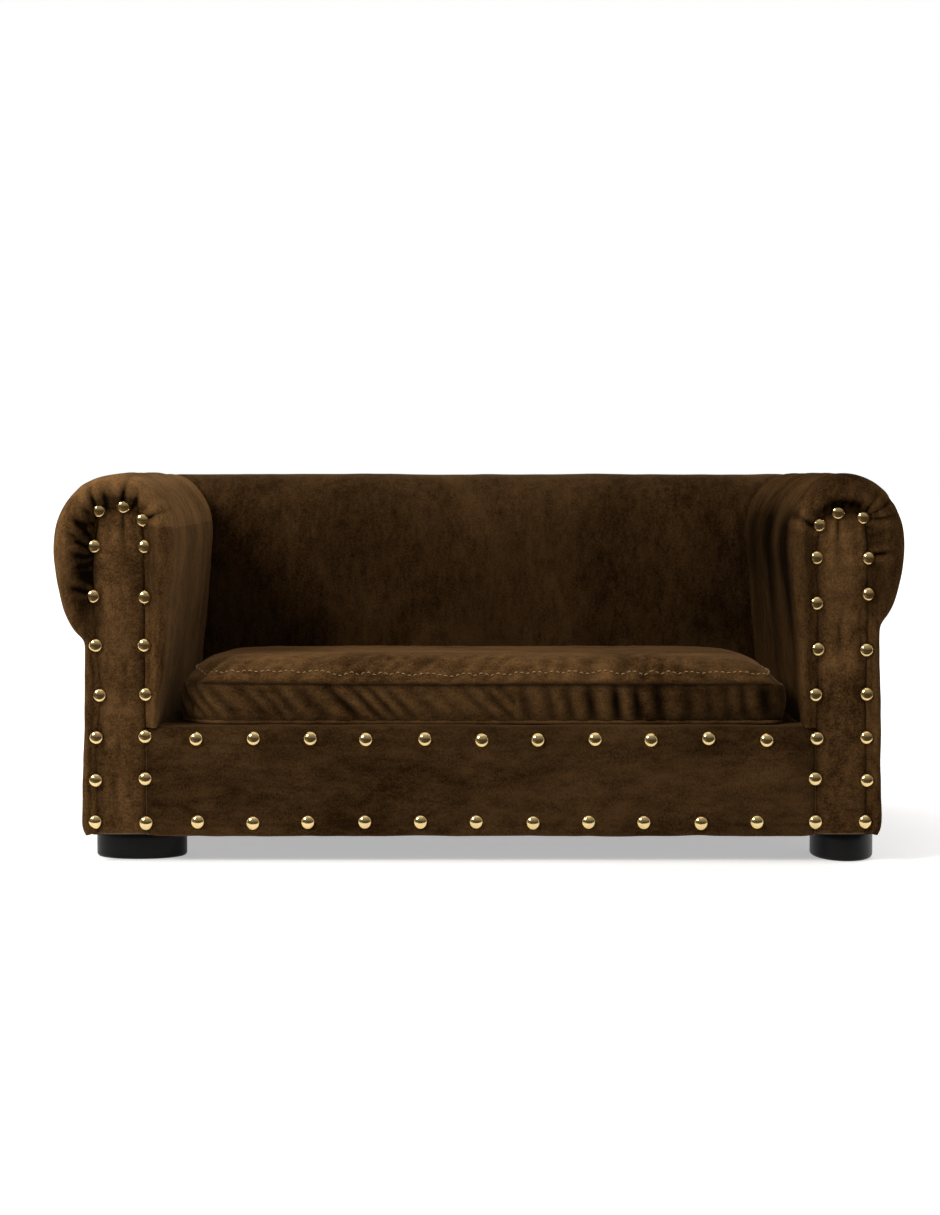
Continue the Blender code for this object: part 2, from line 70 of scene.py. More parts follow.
NAIL_IN, NAIL_OUT = NAILS_LOW.x + NAIL_R - SEAT_X, NAILS_HIGH.x - NAIL_R - SEAT_X
CUSHION_LOW, CUSHION_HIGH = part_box("cushion_bottom_panel")
BOXING_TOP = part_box("cushion_boxing")[1].z
CROWN_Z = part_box("cushion_top_panel")[1].z

# ---------------------------------------------------------------- shapes of the upholstery
ROLL_UP, ROLL_IN = 0.0585, 0.0448  # the roll's radii, upward and towards the seat
ROLL_Z = ARM_HIGH.z - ROLL_UP
ROLL_U = ROLL_IN - BULGE
ARCH_UP = {"left": 0.0320, "right": 0.0282}  # top of the nail line's arch, from the roll's centre
ARCH_FOOT = -0.008  # where the arch springs, the same way
SEAM = 0.0006  # from the nail line to the fabric's edge on each side
HEM_R = 0.0035  # rounding of the arms' lower edge
MITRE = 0.00025  # half the gap between an arm's cover and the back's
MITRE_DEEP, MITRE_WIDE = 0.0016, 0.0035  # the groove along that gap
CLOTH = 0.0012  # thickness of the fabric
SKIN = 0.0004  # the visible fabric stands this far outside the CAD's
SIDES = {"left": -1, "right": 1}
# Where the two arms differ: outer face under the roll and at the foot, the roll's reach, where its
# underside starts, how soon it tucks in, and how far the outer nail column bends in at its waist
OUTER_FACE = {"left": (NECK_U, BASE_U), "right": (NECK_U + 0.0020, BASE_U + 0.0025)}
ROLL_REACH = {"left": OUT_U - ROLL_U + 0.0026, "right": OUT_U - ROLL_U}
UNDERSIDE = {"left": NECK_Z - 0.010, "right": NECK_Z + 0.003}
TUCK = {"left": 1.0, "right": 1.35}  # above one, the roll tucks in sooner below its widest part
WAIST = {"left": 0.0045, "right": 0.0005}
WAIST_Z, WAIST_SPREAD = 0.143, 0.032


def gauss(distance, width):
    return np.exp(-((distance / width) ** 2))


def ramp(values, start, width):
    """From 0 at the start to 1 at the width beyond it."""
    return np.clip((values - start) / width, 0, 1)


def waist(z, name):
    return WAIST[name] * gauss(z - WAIST_Z, WAIST_SPREAD)


def crowded(count, power):
    """Places from -1 to 1 that lie closer together near both ends."""
    even = np.linspace(-1, 1, count)
    return np.sign(even) * (1 - (1 - np.abs(even)) ** power)


# ---------------------------------------------------------------- mesh helpers
def mesh_object(name, points, faces, finish):
    data = bpy.data.meshes.new(name)
    data.from_pydata(np.asarray(points, float).tolist(), [], faces)
    data.validate()
    data.shade_smooth()
    data.materials.append(finish)
    made = bpy.data.objects.new(name, data)
    bpy.context.scene.collection.objects.link(made)
    return made


def grid_faces(rows, columns, closed=False):
    faces = []
    last = columns if closed else columns - 1
    for i in range(rows - 1):
        for j in range(last):
            k = (j + 1) % columns
            faces.append((i * columns + j, i * columns + k, (i + 1) * columns + k, (i + 1) * columns + j))
    return faces


def grid_normals(points):
    along, across = np.gradient(points, axis=0), np.gradient(points, axis=1)
    found = np.cross(across, along)
    return found / np.maximum(np.linalg.norm(found, axis=2, keepdims=True), 1e-12)


def stand_out(points, centre, relief):
    """The points moved along the surface by the relief, away from the centre."""
    normals = grid_normals(points)
    outward = np.sign(((points - centre) * normals).sum(axis=2).mean())
    return points + normals * outward * relief[..., None]


def soft_noise(points, size, seed):
    """Repeatable noise from about -1 to 1, with features of that size."""
    shift = Vector((seed * 7.31, seed * 3.77, seed * 5.13))
    flat = points.reshape(-1, 3) / size
    found = [noise.noise(Vector(p) + shift) for p in flat]
    return np.array(found).reshape(points.shape[:2])


def cloth_sheet(name, points, centre, nap_and_painted_light, finish):
    """A sheet of fabric over a grid of points, whose thickness goes inward, towards the centre."""
    if ((points - centre) * grid_normals(points)).sum(axis=2).mean() > 0:
        points, nap_and_painted_light = points[:, ::-1], nap_and_painted_light[:, ::-1]
    rows, columns = points.shape[:2]
    made = mesh_object(name, points.reshape(-1, 3), grid_faces(rows, columns), finish)
    set_nap_and_painted_light(made, nap_and_painted_light)
    solid = made.modifiers.new("thickness", "SOLIDIFY")
    solid.thickness, solid.offset = CLOTH, -1.0
    return made


def set_nap_and_painted_light(made, nap_and_painted_light):
    """Stores at each point how the pile lies together with painted light and shade: 0 dark from crushed pile and
    painted shade, 0.5 as brushed, 1 light from raised pile and painted light.
    """
    values = made.data.attributes.new("nap_and_painted_light", "FLOAT", "POINT")
    values.data.foreach_set("value", np.clip(nap_and_painted_light, 0, 1).ravel().astype(np.float32))


def resample(rows, count):
    """Rows spaced evenly by the length of their first two columns."""
    rows = np.asarray(rows, float)
    steps = np.linalg.norm(np.diff(rows[:, :2], axis=0), axis=1)
    length = np.concatenate([[0.0], np.cumsum(steps)])
    at = np.linspace(0.0, length[-1], count)
    return np.stack([np.interp(at, length, column) for column in rows.T], axis=1)


def relax(rows, passes):
    for _ in range(passes):
        rows[1:-1] = 0.25 * rows[:-2] + 0.5 * rows[1:-1] + 0.25 * rows[2:]
    return rows


# ---------------------------------------------------------------- cross-section of arms and back
SECTION_PASSES = 30  # of smoothing


def arch_point(name, degrees, spread=0.0):
    """(u, z) on the nail line's arch: 0 degrees is its outer foot and 90 its top."""
    centre, half = (NAIL_IN + NAIL_OUT) / 2, (NAIL_OUT - NAIL_IN) / 2 + spread
    across, up = math.cos(math.radians(degrees)), max(math.sin(math.radians(degrees)), 0.0)
    u = centre + half * math.copysign(math.sqrt(abs(across)), across)
    return u, ROLL_Z + ARCH_FOOT + (ARCH_UP[name] - ARCH_FOOT + spread) * math.sqrt(up)


def section(name, count):
    """Rows of (u, z, lip u, lip z) from the outer foot, over the roll, to the seat deck."""
    neck_u, base_u = OUTER_FACE[name]
    neck_z = UNDERSIDE[name]
    under_out, springing = ROLL_U + ROLL_REACH[name] - neck_u, ROLL_Z + ARCH_FOOT
    rows = []

    def add(u, z, lip=None):
        if lip is None:
            lip = (NAIL_OUT + SEAM - waist(z, name), min(z, springing))
        rows.append((u, z, *lip))

    for a in np.linspace(-90, 0, 8):
        turn = math.radians(a)
        add(base_u - HEM_R + HEM_R * math.cos(turn), BASE_Z + HEM_R + HEM_R * math.sin(turn))
    for share in np.linspace(0, 1, 60)[1:]:
        z = BASE_Z + HEM_R + (neck_z - BASE_Z - HEM_R) * share
        add(base_u + (neck_u - base_u) * share, z)
    for a in np.radians(np.linspace(-90, 0, 40)[1:]):
        round_out = math.cos(a) ** TUCK[name]
        add(neck_u + under_out * round_out, ROLL_Z + (ROLL_Z - neck_z) * math.sin(a))
    for a in np.linspace(0, 180, 120)[1:]:
        reach = ROLL_REACH[name] if a < 90 else ROLL_IN
        turn = math.radians(a)
        add(ROLL_U + reach * math.cos(turn), ROLL_Z + ROLL_UP * math.sin(turn), arch_point(name, a, SEAM))
    for share in np.linspace(0, 1, 60)[1:]:
        z = ROLL_Z + (DECK_Z + 0.0003 - ROLL_Z) * share
        add(-BULGE * (1 - share), z, (NAIL_IN - SEAM, min(z, springing)))
    return relax(resample(rows, count), SECTION_PASSES)


# ---------------------------------------------------------------- nails
HEAD_R, HEAD_RISE = 0.0064, 0.0049
HAND_SET = 0.0009  # nails set by hand stray this far
LOWER_STEP, UPPER_STEP = 0.0353, {"left": 0.0408, "right": 0.0380}
ARCH_NAILS = {"left": (56, 92, 148), "right": (50, 92, 150)}
CLOSE_PAIR = 0.0075  # the right arm's second outer nail from the top stands this much higher


def column_heights(name):
    """The heights of an arm's nail columns, four close together and three further apart."""
    foot = NAILS_LOW.z + NAIL_R
    upper = [foot + 3 * LOWER_STEP + UPPER_STEP[name] * i for i in (1, 2, 3)]
    return [foot + LOWER_STEP * i for i in range(4)] + upper


def arm_nails(name):
    """(u, z) of an arm's nails."""
    heights = column_heights(name)
    spots = [(NAIL_OUT - waist(z, name), z) for z in heights]
    spots += [(NAIL_IN, z) for z in heights]
    if name == "right":
        spots[5] = (NAIL_OUT, heights[5] + CLOSE_PAIR)
    return spots + [arch_point(name, a) for a in ARCH_NAILS[name]]


def rail_nails(row):
    """(x, z) of a row of eleven nails; the bottom row is shifted and a little closer together."""
    low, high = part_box(f"rail_nails_{row}")
    pitch = (high.x - NAIL_R) / 5
    shift, squeeze = {"top": (0.0, 1.0), "bottom": (-0.0035, 0.982)}[row]
    return [(shift + i * pitch * squeeze, (low.z + high.z) / 2) for i in range(-5, 6)]


def hand_set(spots, seed):
    """The spots with the small unevenness of nails set by hand."""
    dice = random.Random(seed)
    return [(a + dice.uniform(-1, 1) * HAND_SET, z + dice.uniform(-1, 1) * HAND_SET) for a, z in spots]


NAIL_SPOTS = {f"arm_nails_{name}": hand_set(arm_nails(name), seed) for seed, name in enumerate(SIDES)}
NAIL_SPOTS["rail_nails_top"] = hand_set(rail_nails("top"), 5)
NAIL_SPOTS["rail_nails_bottom"] = hand_set(rail_nails("bottom"), 6)


def dimples(across, up, spots, depth, width):
    """How far a fabric point is pulled in by the nails near it."""
    pull = np.zeros_like(across)
    for a, z in spots:
        pull -= depth * gauss(np.hypot(across - a, up - z), width)
    return pull


# ---------------------------------------------------------------- materials
def shader_material(name, **settings):
    """A material with its nodes, links, shader and object coordinates; settings go on the shader's sockets."""
    made = bpy.data.materials.new(name)
    made.use_nodes = True
    nodes = made.node_tree.nodes
    shader = nodes["Principled BSDF"]
    for socket, value in settings.items():
        shader.inputs[socket.replace("_", " ")].default_value = value
    coords = nodes.new("ShaderNodeTexCoord").outputs["Object"]
    return made, nodes, made.node_tree.links, shader, coords


def noise_node(nodes, links, coords, scale, detail=4.0, roughness=0.55, stretch=(1, 1, 1), distortion=0.0):
    mapping = nodes.new("ShaderNodeMapping")
    mapping.inputs["Scale"].default_value = stretch
    links.new(coords, mapping.inputs["Vector"])
    made = nodes.new("ShaderNodeTexNoise")
    settings = {"Scale": scale, "Detail": detail, "Roughness": roughness, "Distortion": distortion}
    for socket, value in settings.items():
        made.inputs[socket].default_value = value
    links.new(mapping.outputs["Vector"], made.inputs["Vector"])
    return made.outputs["Fac"]


def blend_colours(nodes, links, factor, low, high, span=(0.35, 0.65)):
    ramp = nodes.new("ShaderNodeValToRGB")
    ramp.color_ramp.elements[0].position, ramp.color_ramp.elements[1].position = span
    ramp.color_ramp.elements[0].color = (*low, 1)
    ramp.color_ramp.elements[1].color = (*high, 1)
    links.new(factor, ramp.inputs["Fac"])
    return ramp.outputs["Color"]


def mix_factor(nodes, links, a, b, share):
    made = nodes.new("ShaderNodeMix")
    made.inputs[0].default_value = share
    links.new(a, made.inputs[2])
    links.new(b, made.inputs[3])
    return made.outputs[0]


def add_bump(nodes, links, shader, height, strength, distance):
    made = nodes.new("ShaderNodeBump")
    made.inputs["Strength"].default_value, made.inputs["Distance"].default_value = strength, distance
    links.new(height, made.inputs["Height"])
    links.new(made.outputs["Normal"], shader.inputs["Normal"])


def velvet(name, tone, sheen, streak=(1, 1, 1)):
    """Short-pile velvet: a dark pile, mottled where the pile lies differently, with a soft sheen, its colour scaled
    by the stored value of painted light and shade.
    """
    dark, light = (tuple(tone * c for c in colour) for colour in (PILE_DARK, PILE_LIGHT))
    made, nodes, links, shader, coords = shader_material(
        name, Roughness=0.92, Specular_IOR_Level=0.0, Sheen_Weight=sheen, Sheen_Roughness=0.42,
        Sheen_Tint=(1.0, 0.60, 0.30, 1),
    )
    patches = noise_node(nodes, links, coords, 11.0, 3.0, 0.6, streak, 0.8)
    mottle = noise_node(nodes, links, coords, 130.0, 5.0, 0.75, streak)
    pile = noise_node(nodes, links, coords, 620.0, 3.0, 0.75)
    # Here only the random mottle of the pile
    nap_and_painted_light = mix_factor(nodes, links, patches, mottle, 0.5)
    worn = mix_factor(nodes, links, nap_and_painted_light, pile, 0.36)
    # The stored value scales the colour: painted light and painted shade on top of how the pile lies
    nap_and_painted_light_value = nodes.new("ShaderNodeAttribute")
    nap_and_painted_light_value.attribute_name = "nap_and_painted_light"
    lie = nodes.new("ShaderNodeMapRange")
    lie.inputs["To Min"].default_value, lie.inputs["To Max"].default_value = NAP_AND_PAINTED_LIGHT_REACH
    links.new(nap_and_painted_light_value.outputs["Fac"], lie.inputs["Value"])
    toned = nodes.new("ShaderNodeVectorMath")
    toned.operation = "SCALE"
    links.new(blend_colours(nodes, links, worn, dark, light, VELVET_SPAN), toned.inputs[0])
    links.new(lie.outputs["Result"], toned.inputs["Scale"])
    links.new(toned.outputs["Vector"], shader.inputs["Base Color"])
    add_bump(nodes, links, shader, mix_factor(nodes, links, mottle, pile, 0.5), 0.35, 0.0006)
    return made


def polished_brass(name, colour, roughness):
    made, nodes, links, shader, coords = shader_material(name, Metallic=1.0)
    tarnish = noise_node(nodes, links, coords, 220.0, 3.0)
    dull = tuple(0.86 * c for c in colour)
    links.new(blend_colours(nodes, links, tarnish, dull, colour), shader.inputs["Base Color"])
    rough = nodes.new("ShaderNodeMapRange")
    rough.inputs["To Min"].default_value, rough.inputs["To Max"].default_value = roughness * 0.7, roughness * 1.4
    links.new(tarnish, rough.inputs["Value"])
    links.new(rough.outputs["Result"], shader.inputs["Roughness"])
    return made


def plain_grain(name, low, high, scale, roughness, stretch=(1, 1, 1), bump=0.2, metallic=0.0):
    """A quiet surface with grain: foam, felt, wood, moulded plastic or steel, by its numbers."""
    made, nodes, links, shader, coords = shader_material(name, Roughness=roughness, Metallic=metallic)
    grain = noise_node(nodes, links, coords, scale, 5.0, 0.6, stretch, 0.3)
    fine = noise_node(nodes, links, coords, scale * 9, 2.0, 0.5, stretch)
    links.new(blend_colours(nodes, links, grain, low, high, (0.3, 0.7)), shader.inputs["Base Color"])
    add_bump(nodes, links, shader, mix_factor(nodes, links, grain, fine, 0.6), bump, 0.0005)
    return made


VELVET_SPAN = (0.41, 0.60)  # the narrow band of the noise over which the pile turns from dark to light
PILE_DARK, PILE_LIGHT = (0.0130, 0.0058, 0.0018), (0.060, 0.0310, 0.0115)
NAP_AND_PAINTED_LIGHT_REACH = (0.05, 1.95)  # how much the darkest and the lightest stored value, with its painted shade and painted light, scale the pile's colour
# Lit and shaded copies of one velvet: the left arm's lighter tone is painted light, the right arm's darker tone
# painted shade
VELVET_ARM_LIT_AND_SHADED = {
    "left": velvet("velvet_arm_left_lit", 1.9, 0.07, (1, 1, 0.4)),
    "right": velvet("velvet_arm_right_shaded", 1.4, 0.01, (1, 1, 0.4)),
}
VELVET_BACK = velvet("velvet_back", 1.1, 0.15, (1, 1, 0.4))
VELVET_PANEL = velvet("velvet_panel", 1.7, 0.15)
VELVET_FRONT = velvet("velvet_front", 0.92, 0.2, (0.45, 1, 1))
VELVET_CUSHION = velvet("velvet_cushion", 1.6, 0.16, (0.6, 1, 1))
VELVET_DECK = velvet("velvet_deck", 0.8, 0.15)
BRASS = polished_brass("nail_brass", (0.82, 0.62, 0.29), 0.14)
ZIP_BRASS = polished_brass("zip_brass", (0.42, 0.32, 0.17), 0.34)
THREAD = plain_grain("golden_thread", (0.20, 0.115, 0.040), (0.40, 0.26, 0.11), 900.0, 0.6)
BLACK = plain_grain("black_foot", (0.002, 0.002, 0.002), (0.003, 0.003, 0.003), 160.0, 0.36, bump=0.06)
BLACK.node_tree.nodes["Principled BSDF"].inputs["Specular IOR Level"].default_value = 0.14
PLYWOOD = plain_grain("plywood", (0.36, 0.23, 0.12), (0.58, 0.42, 0.25), 38.0, 0.72, (1, 1, 7))
FOAM = plain_grain("foam", (0.66, 0.60, 0.42), (0.80, 0.75, 0.57), 420.0, 0.95, bump=0.5)
FELT = plain_grain("dust_felt", (0.010, 0.010, 0.010), (0.030, 0.030, 0.030), 700.0, 0.95, bump=0.5)
STEEL = plain_grain("bolt_steel", (0.36, 0.36, 0.37), (0.52, 0.52, 0.53), 300.0, 0.35, (1, 1, 0.1), 0.1, 1.0)
ZIP_TAPE = plain_grain("zip_tape", (0.022, 0.012, 0.006), (0.050, 0.030, 0.015), 800.0, 0.8, bump=0.5)


# ---------------------------------------------------------------- arms
BORDER_STEPS, ARM_STEPS, SECTION_STEPS = 46, 64, 400
FLAT_PART, CREST_PART = 0.16, 0.58  # where the border's flat strip and its crest end, as shares of its steps
BLEND_PART = 0.4  # over this share of its depth, an arm takes on the back's section
LIP_DEEP = 0.0022  # how far the fabric's edge turns in at the nail line
# Folds at the head of each arm: (u, z above the roll's centre, direction in degrees with 0 outward and
# 90 up, length, depth)
FOLDS = {
    "left": (
        (0.047, 0.024, 78, 0.030, 0.0016),
        (0.041, 0.027, 92, 0.022, 0.0010),
        (0.028, 0.028, 104, 0.034, 0.0018),
        (0.020, 0.027, 118, 0.022, 0.0009),
        (0.012, 0.020, 156, 0.030, 0.0018),
        (0.050, 0.000, 57, 0.036, 0.0015),
        (0.051, -0.006, 44, 0.028, 0.0010),
        (0.050, -0.040, 18, 0.022, 0.0013),
    ),
    "right": (
        (0.047, 0.022, 8, 0.026, 0.0015),
        (0.047, 0.023, 34, 0.030, 0.0016),
        (0.046, 0.024, 62, 0.026, 0.0012),
        (0.012, 0.012, 148, 0.030, 0.0015),
        (0.050, -0.008, 12, 0.022, 0.0013),
    ),
}


def fold(u, z, start_u, start_z, degrees, length, depth):
    """A crease that starts at a nail and opens out, with a soft ridge on each side."""
    turn = math.radians(degrees)
    du, dz = u - start_u, z - start_z
    along = du * math.cos(turn) + dz * math.sin(turn)
    off = du * -math.sin(turn) + dz * math.cos(turn)
    width = 0.0013 + 0.07 * np.clip(along, 0, None)
    fade = np.clip(along / 0.004, 0, 1) * np.clip(1 - along / length, 0, 1) ** 0.7
    return 1.5 * depth * fade * (0.6 * gauss(np.abs(off) - 2.2 * width, 1.3 * width) - gauss(off, width))


GATHER = {"left": 0.0005, "right": 0.0002}  # depth of the small gathers outside the top nails
SWEEP = {"left": 0.0, "right": 0.0008}  # height of the long fold over them
NAIL_MIDDLE = (NAIL_IN + NAIL_OUT) / 2  # halfway between an arm's nail columns
SEAT_SIDE = 0.012  # less than this far out, the border faces the seat


def swept_fold(u, z, behind, name):
    """The long soft fold that sweeps over the top nails."""
    du, dz = u - NAIL_MIDDLE, z - ROLL_Z - 0.006
    along = np.degrees(np.arctan2(dz, du))
    off = np.hypot(du, dz) - 0.0385
    window = ramp(along, 28, 25) * ramp(-along, -172, 25)
    window *= np.exp(-np.clip(behind, 0, None) / 0.02)
    return SWEEP[name] * window * (gauss(off, 0.0040) - 0.9 * gauss(off + 0.0085, 0.0040))


def border_profile(t, flat, puff, edge):
    """(share of the way from lip to edge, depth) of the puffed border, for t from 0 to 1."""
    crest = flat + (1 - flat) * 0.5
    if t < FLAT_PART:
        s = t / FLAT_PART
        return flat * s, LIP_DEEP * (1 - s) ** 2
    if t < CREST_PART:
        s = (t - FLAT_PART) / (CREST_PART - FLAT_PART)
        share = flat + (crest - flat) * (3 * (1 - s) ** 2 * s * 0.22 + 3 * (1 - s) * s**2 * 0.55 + s**3)
        return share, -puff * (3 * (1 - s) ** 2 * s * 0.30 + 3 * (1 - s) * s**2 * 0.98 + s**3)
    turn = (t - CREST_PART) / (1 - CREST_PART) * math.pi / 2
    return crest + (1 - crest) * math.sin(turn), -puff + (puff + edge) * (1 - math.cos(turn))


def arm_points(name):
    """The grid of an arm's cover: across its section, and from the nail line back to the mitre."""
    rows = section(name, SECTION_STEPS)
    edge_points, lips = rows[:, :2], rows[:, 2:]
    reach = np.linalg.norm(edge_points - lips, axis=1)
    flat = np.minimum(0.0042, 0.4 * reach) / reach
    puff, edge = np.clip(0.34 * reach, 0.0018, 0.0098), np.clip(0.62 * reach, 0.003, 0.017)
    points = np.zeros((SECTION_STEPS, BORDER_STEPS + ARM_STEPS, 3))
    for j in range(BORDER_STEPS):
        share, deep = border_profile(j / (BORDER_STEPS - 1), flat, puff, edge)
        points[:, j, [0, 2]] = lips + (edge_points - lips) * share[:, None]
        points[:, j, 1] = FRONT_Y + deep
    back_points = section("right", SECTION_STEPS)[:, :2]
    rear = BACK_Y + back_points[:, 0] - MITRE
    for j in range(ARM_STEPS):
        share = (j + 1) / ARM_STEPS
        blend = ramp(share, 1 - BLEND_PART, BLEND_PART)
        blend *= blend * (3 - 2 * blend)
        points[:, BORDER_STEPS + j, [0, 2]] = edge_points + (back_points - edge_points) * blend
        points[:, BORDER_STEPS + j, 1] = FRONT_Y + edge + (rear - FRONT_Y - edge) * share
    return points, rear


def arm_relief(points, rear, name, seed):
    """How far each point of an arm's cover stands in or out."""
    u, y, z = points[..., 0], points[..., 1], points[..., 2]
    behind = y - FRONT_Y
    relief = SKIN + 0.0013 * soft_noise(points, 0.050, seed) + 0.0005 * soft_noise(points, 0.018, seed + 1)
    head = np.exp(-np.clip(behind, 0, None) / 0.020)
    creases = np.zeros_like(relief)
    for start_u, start_z, degrees, length, depth in FOLDS[name]:
        creases += head * fold(u, z, start_u, ROLL_Z + start_z, degrees, length, depth)
    around = np.arctan2(z - ROLL_Z - 0.004, u - NAIL_MIDDLE)
    near_arch = gauss(np.hypot(u - 0.0294, z - ROLL_Z) - 0.031, 0.010) * (z > ROLL_Z - 0.02) * (behind < 0.004)
    small = GATHER[name] * near_arch * (u > SEAT_SIDE)
    creases += small * np.sin(22 * around + 4 * soft_noise(points, 0.018, seed + 2))
    creases += swept_fold(u, z, behind, name)
    pull = dimples(u, z, NAIL_SPOTS[f"arm_nails_{name}"], 0.0034, 0.0078)
    relief += creases + pull * np.clip(-behind / 0.004, 0, 1)
    to_mitre = (rear[:, None] - y) / math.sqrt(2)
    relief -= MITRE_DEEP * gauss(to_mitre, MITRE_WIDE)
    streaks = soft_noise(np.stack([u, y, 0.25 * z], axis=2), 0.075, seed + 3)
    relief += 0.0003 * ((u < SEAT_SIDE) & (z < ROLL_Z)) * streaks
    # Painted shade in the folds' creases and painted light on their ridges, with random tone
    nap_and_painted_light = 0.5 + 0.24 * np.clip(creases / 0.0009, -1.4, 0.8) + 0.06 * soft_noise(points, 0.035, seed + 4)
    return relief, nap_and_painted_light, streaks


# Painted light and shade on each arm, kept with how the pile lies: painted light over the left roll's top and outer
# side, painted shade over the right roll's outer side, painted shade in the groove outside the nails, and on the
# seat side a little painted light on the left and deep painted shade on the right
ROLL_PAINTED_LIGHT = {"left": (0.42, 0.36), "right": (0.00, -0.34)}
GROOVE_PAINTED_SHADE = {"left": -0.52, "right": -0.30}
SEAT_SIDE_PAINTED_LIGHT = {"left": 0.08, "right": -0.42}


def build_arm(name, side, seed):
    points, rear = arm_points(name)
    relief, nap_and_painted_light, streaks = arm_relief(points, rear, name, seed)
    u, z = points[..., 0], points[..., 2]
    high = ramp(z, ROLL_Z - 0.030, 0.055)
    outer = ramp(u, NAIL_OUT + 0.006, 0.016)
    step = np.arange(points.shape[1])
    crest = ramp(step / (BORDER_STEPS * CREST_PART), 0.62, 0.7)[None, :]
    top_painted_light, outer_painted_light = ROLL_PAINTED_LIGHT[name]
    # Painted light on the left roll's top and outer side, painted shade on the right roll's outer side
    nap_and_painted_light += crest * high * np.maximum(top_painted_light * (z > ROLL_Z + 0.015), outer_painted_light * outer)
    # Painted shade in the groove outside the nails, weaker on the seat side
    nap_and_painted_light += GROOVE_PAINTED_SHADE[name] * (1 - crest) * ramp(z, 0.190, 0.035) * (0.45 + 0.55 * (u > SEAT_SIDE))
    turned = ramp(-u, -0.006, 0.020) * ramp(-z, -ROLL_Z - 0.052, 0.030)
    inward = turned * ramp(step / BORDER_STEPS, 0.5, 0.5)
    # Painted light on the left arm's seat side and painted shade on the right's, with random streaks
    nap_and_painted_light += SEAT_SIDE_PAINTED_LIGHT[name] * inward + 0.30 * streaks * inward
    centre = np.array((0.03, 0.0, 0.2))
    points = stand_out(points, centre, relief)
    points[..., 0] = side * (SEAT_X + points[..., 0])
    centre[0] = side * (SEAT_X + centre[0])
    made = cloth_sheet(f"arm_velvet_{name}", points, centre, nap_and_painted_light, VELVET_ARM_LIT_AND_SHADED[name])
    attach(made, "sofa")
    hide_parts(f"arm_cover_{name}", f"arm_foam_{name}")


PANEL_COLUMNS, PANEL_ROWS = 48, 200


def build_arm_panel(name, side, seed):
    """The flat strip between an arm's two nail columns, with its rounded head."""
    across = crowded(PANEL_COLUMNS, 1.8)
    centre, half = NAIL_MIDDLE, (NAIL_OUT - NAIL_IN) / 2 - SEAM
    springing, rise = ROLL_Z + ARCH_FOOT, ARCH_UP[name] - ARCH_FOOT - SEAM
    top = springing + rise * (1 - np.abs(across) ** 4) ** 0.25
    foot = BASE_Z + 0.0008
    share = np.linspace(0, 1, PANEL_ROWS)[:, None]
    z = foot + share * (top[None, :] - foot)
    u = centre + half * across[None, :] - waist(z, name) * np.clip(across, 0, 1)[None, :]
    inset = np.minimum((1 - np.abs(across))[None, :] * half, top[None, :] - z)
    deep = 0.0020 * np.exp(-inset / 0.0012) - 0.0016 * ramp(inset, 0.003, 0.009) ** 1.3
    deep += 0.003 * ramp(-z, -foot - 0.003, 0.003) ** 2
    points = np.stack([u, FRONT_Y + deep, z], axis=2)
    relief = 0.0009 * soft_noise(points, 0.030, seed) + 0.0004 * soft_noise(points, 0.012, seed + 1)
    relief += dimples(u, z, NAIL_SPOTS[f"arm_nails_{name}"], 0.0012, 0.0085)
    dice = random.Random(seed)
    creases = np.zeros_like(relief)
    for degrees in ARCH_NAILS[name]:
        nail_u, nail_z = arch_point(name, degrees)
        lean = 270 + (90 - degrees) * 0.3
        creases += fold(u, z, nail_u, nail_z - 0.004, lean, 0.045, 0.0012)
    for _ in range(7):
        start = (centre + dice.uniform(-0.8, 0.8) * half, dice.uniform(0.06, 0.24))
        creases += fold(u, z, *start, 270 + dice.uniform(-9, 9), dice.uniform(0.025, 0.05), 0.0006)
    # Painted shade in the folds' creases and painted light on their ridges, with random tone
    nap_and_painted_light = 0.5 + 0.16 * np.clip(creases / 0.0009, -1.5, 1) + 0.10 * soft_noise(points, 0.030, seed + 2)
    # Painted shade along the panel's recessed edges
    nap_and_painted_light -= 0.38 * np.exp(-inset / 0.0035)
    points[..., 1] -= relief + creases
    points[..., 0] = side * (SEAT_X + points[..., 0])
    inside = np.array((side * (SEAT_X + centre), 0.0, 0.15))
    made = cloth_sheet(f"arm_panel_velvet_{name}", points, inside, nap_and_painted_light, VELVET_PANEL)
    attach(made, "sofa")
    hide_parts(f"arm_front_panel_{name}")


# ---------------------------------------------------------------- front rail
RAIL_COLUMNS, CORNER_R = 260, 0.006


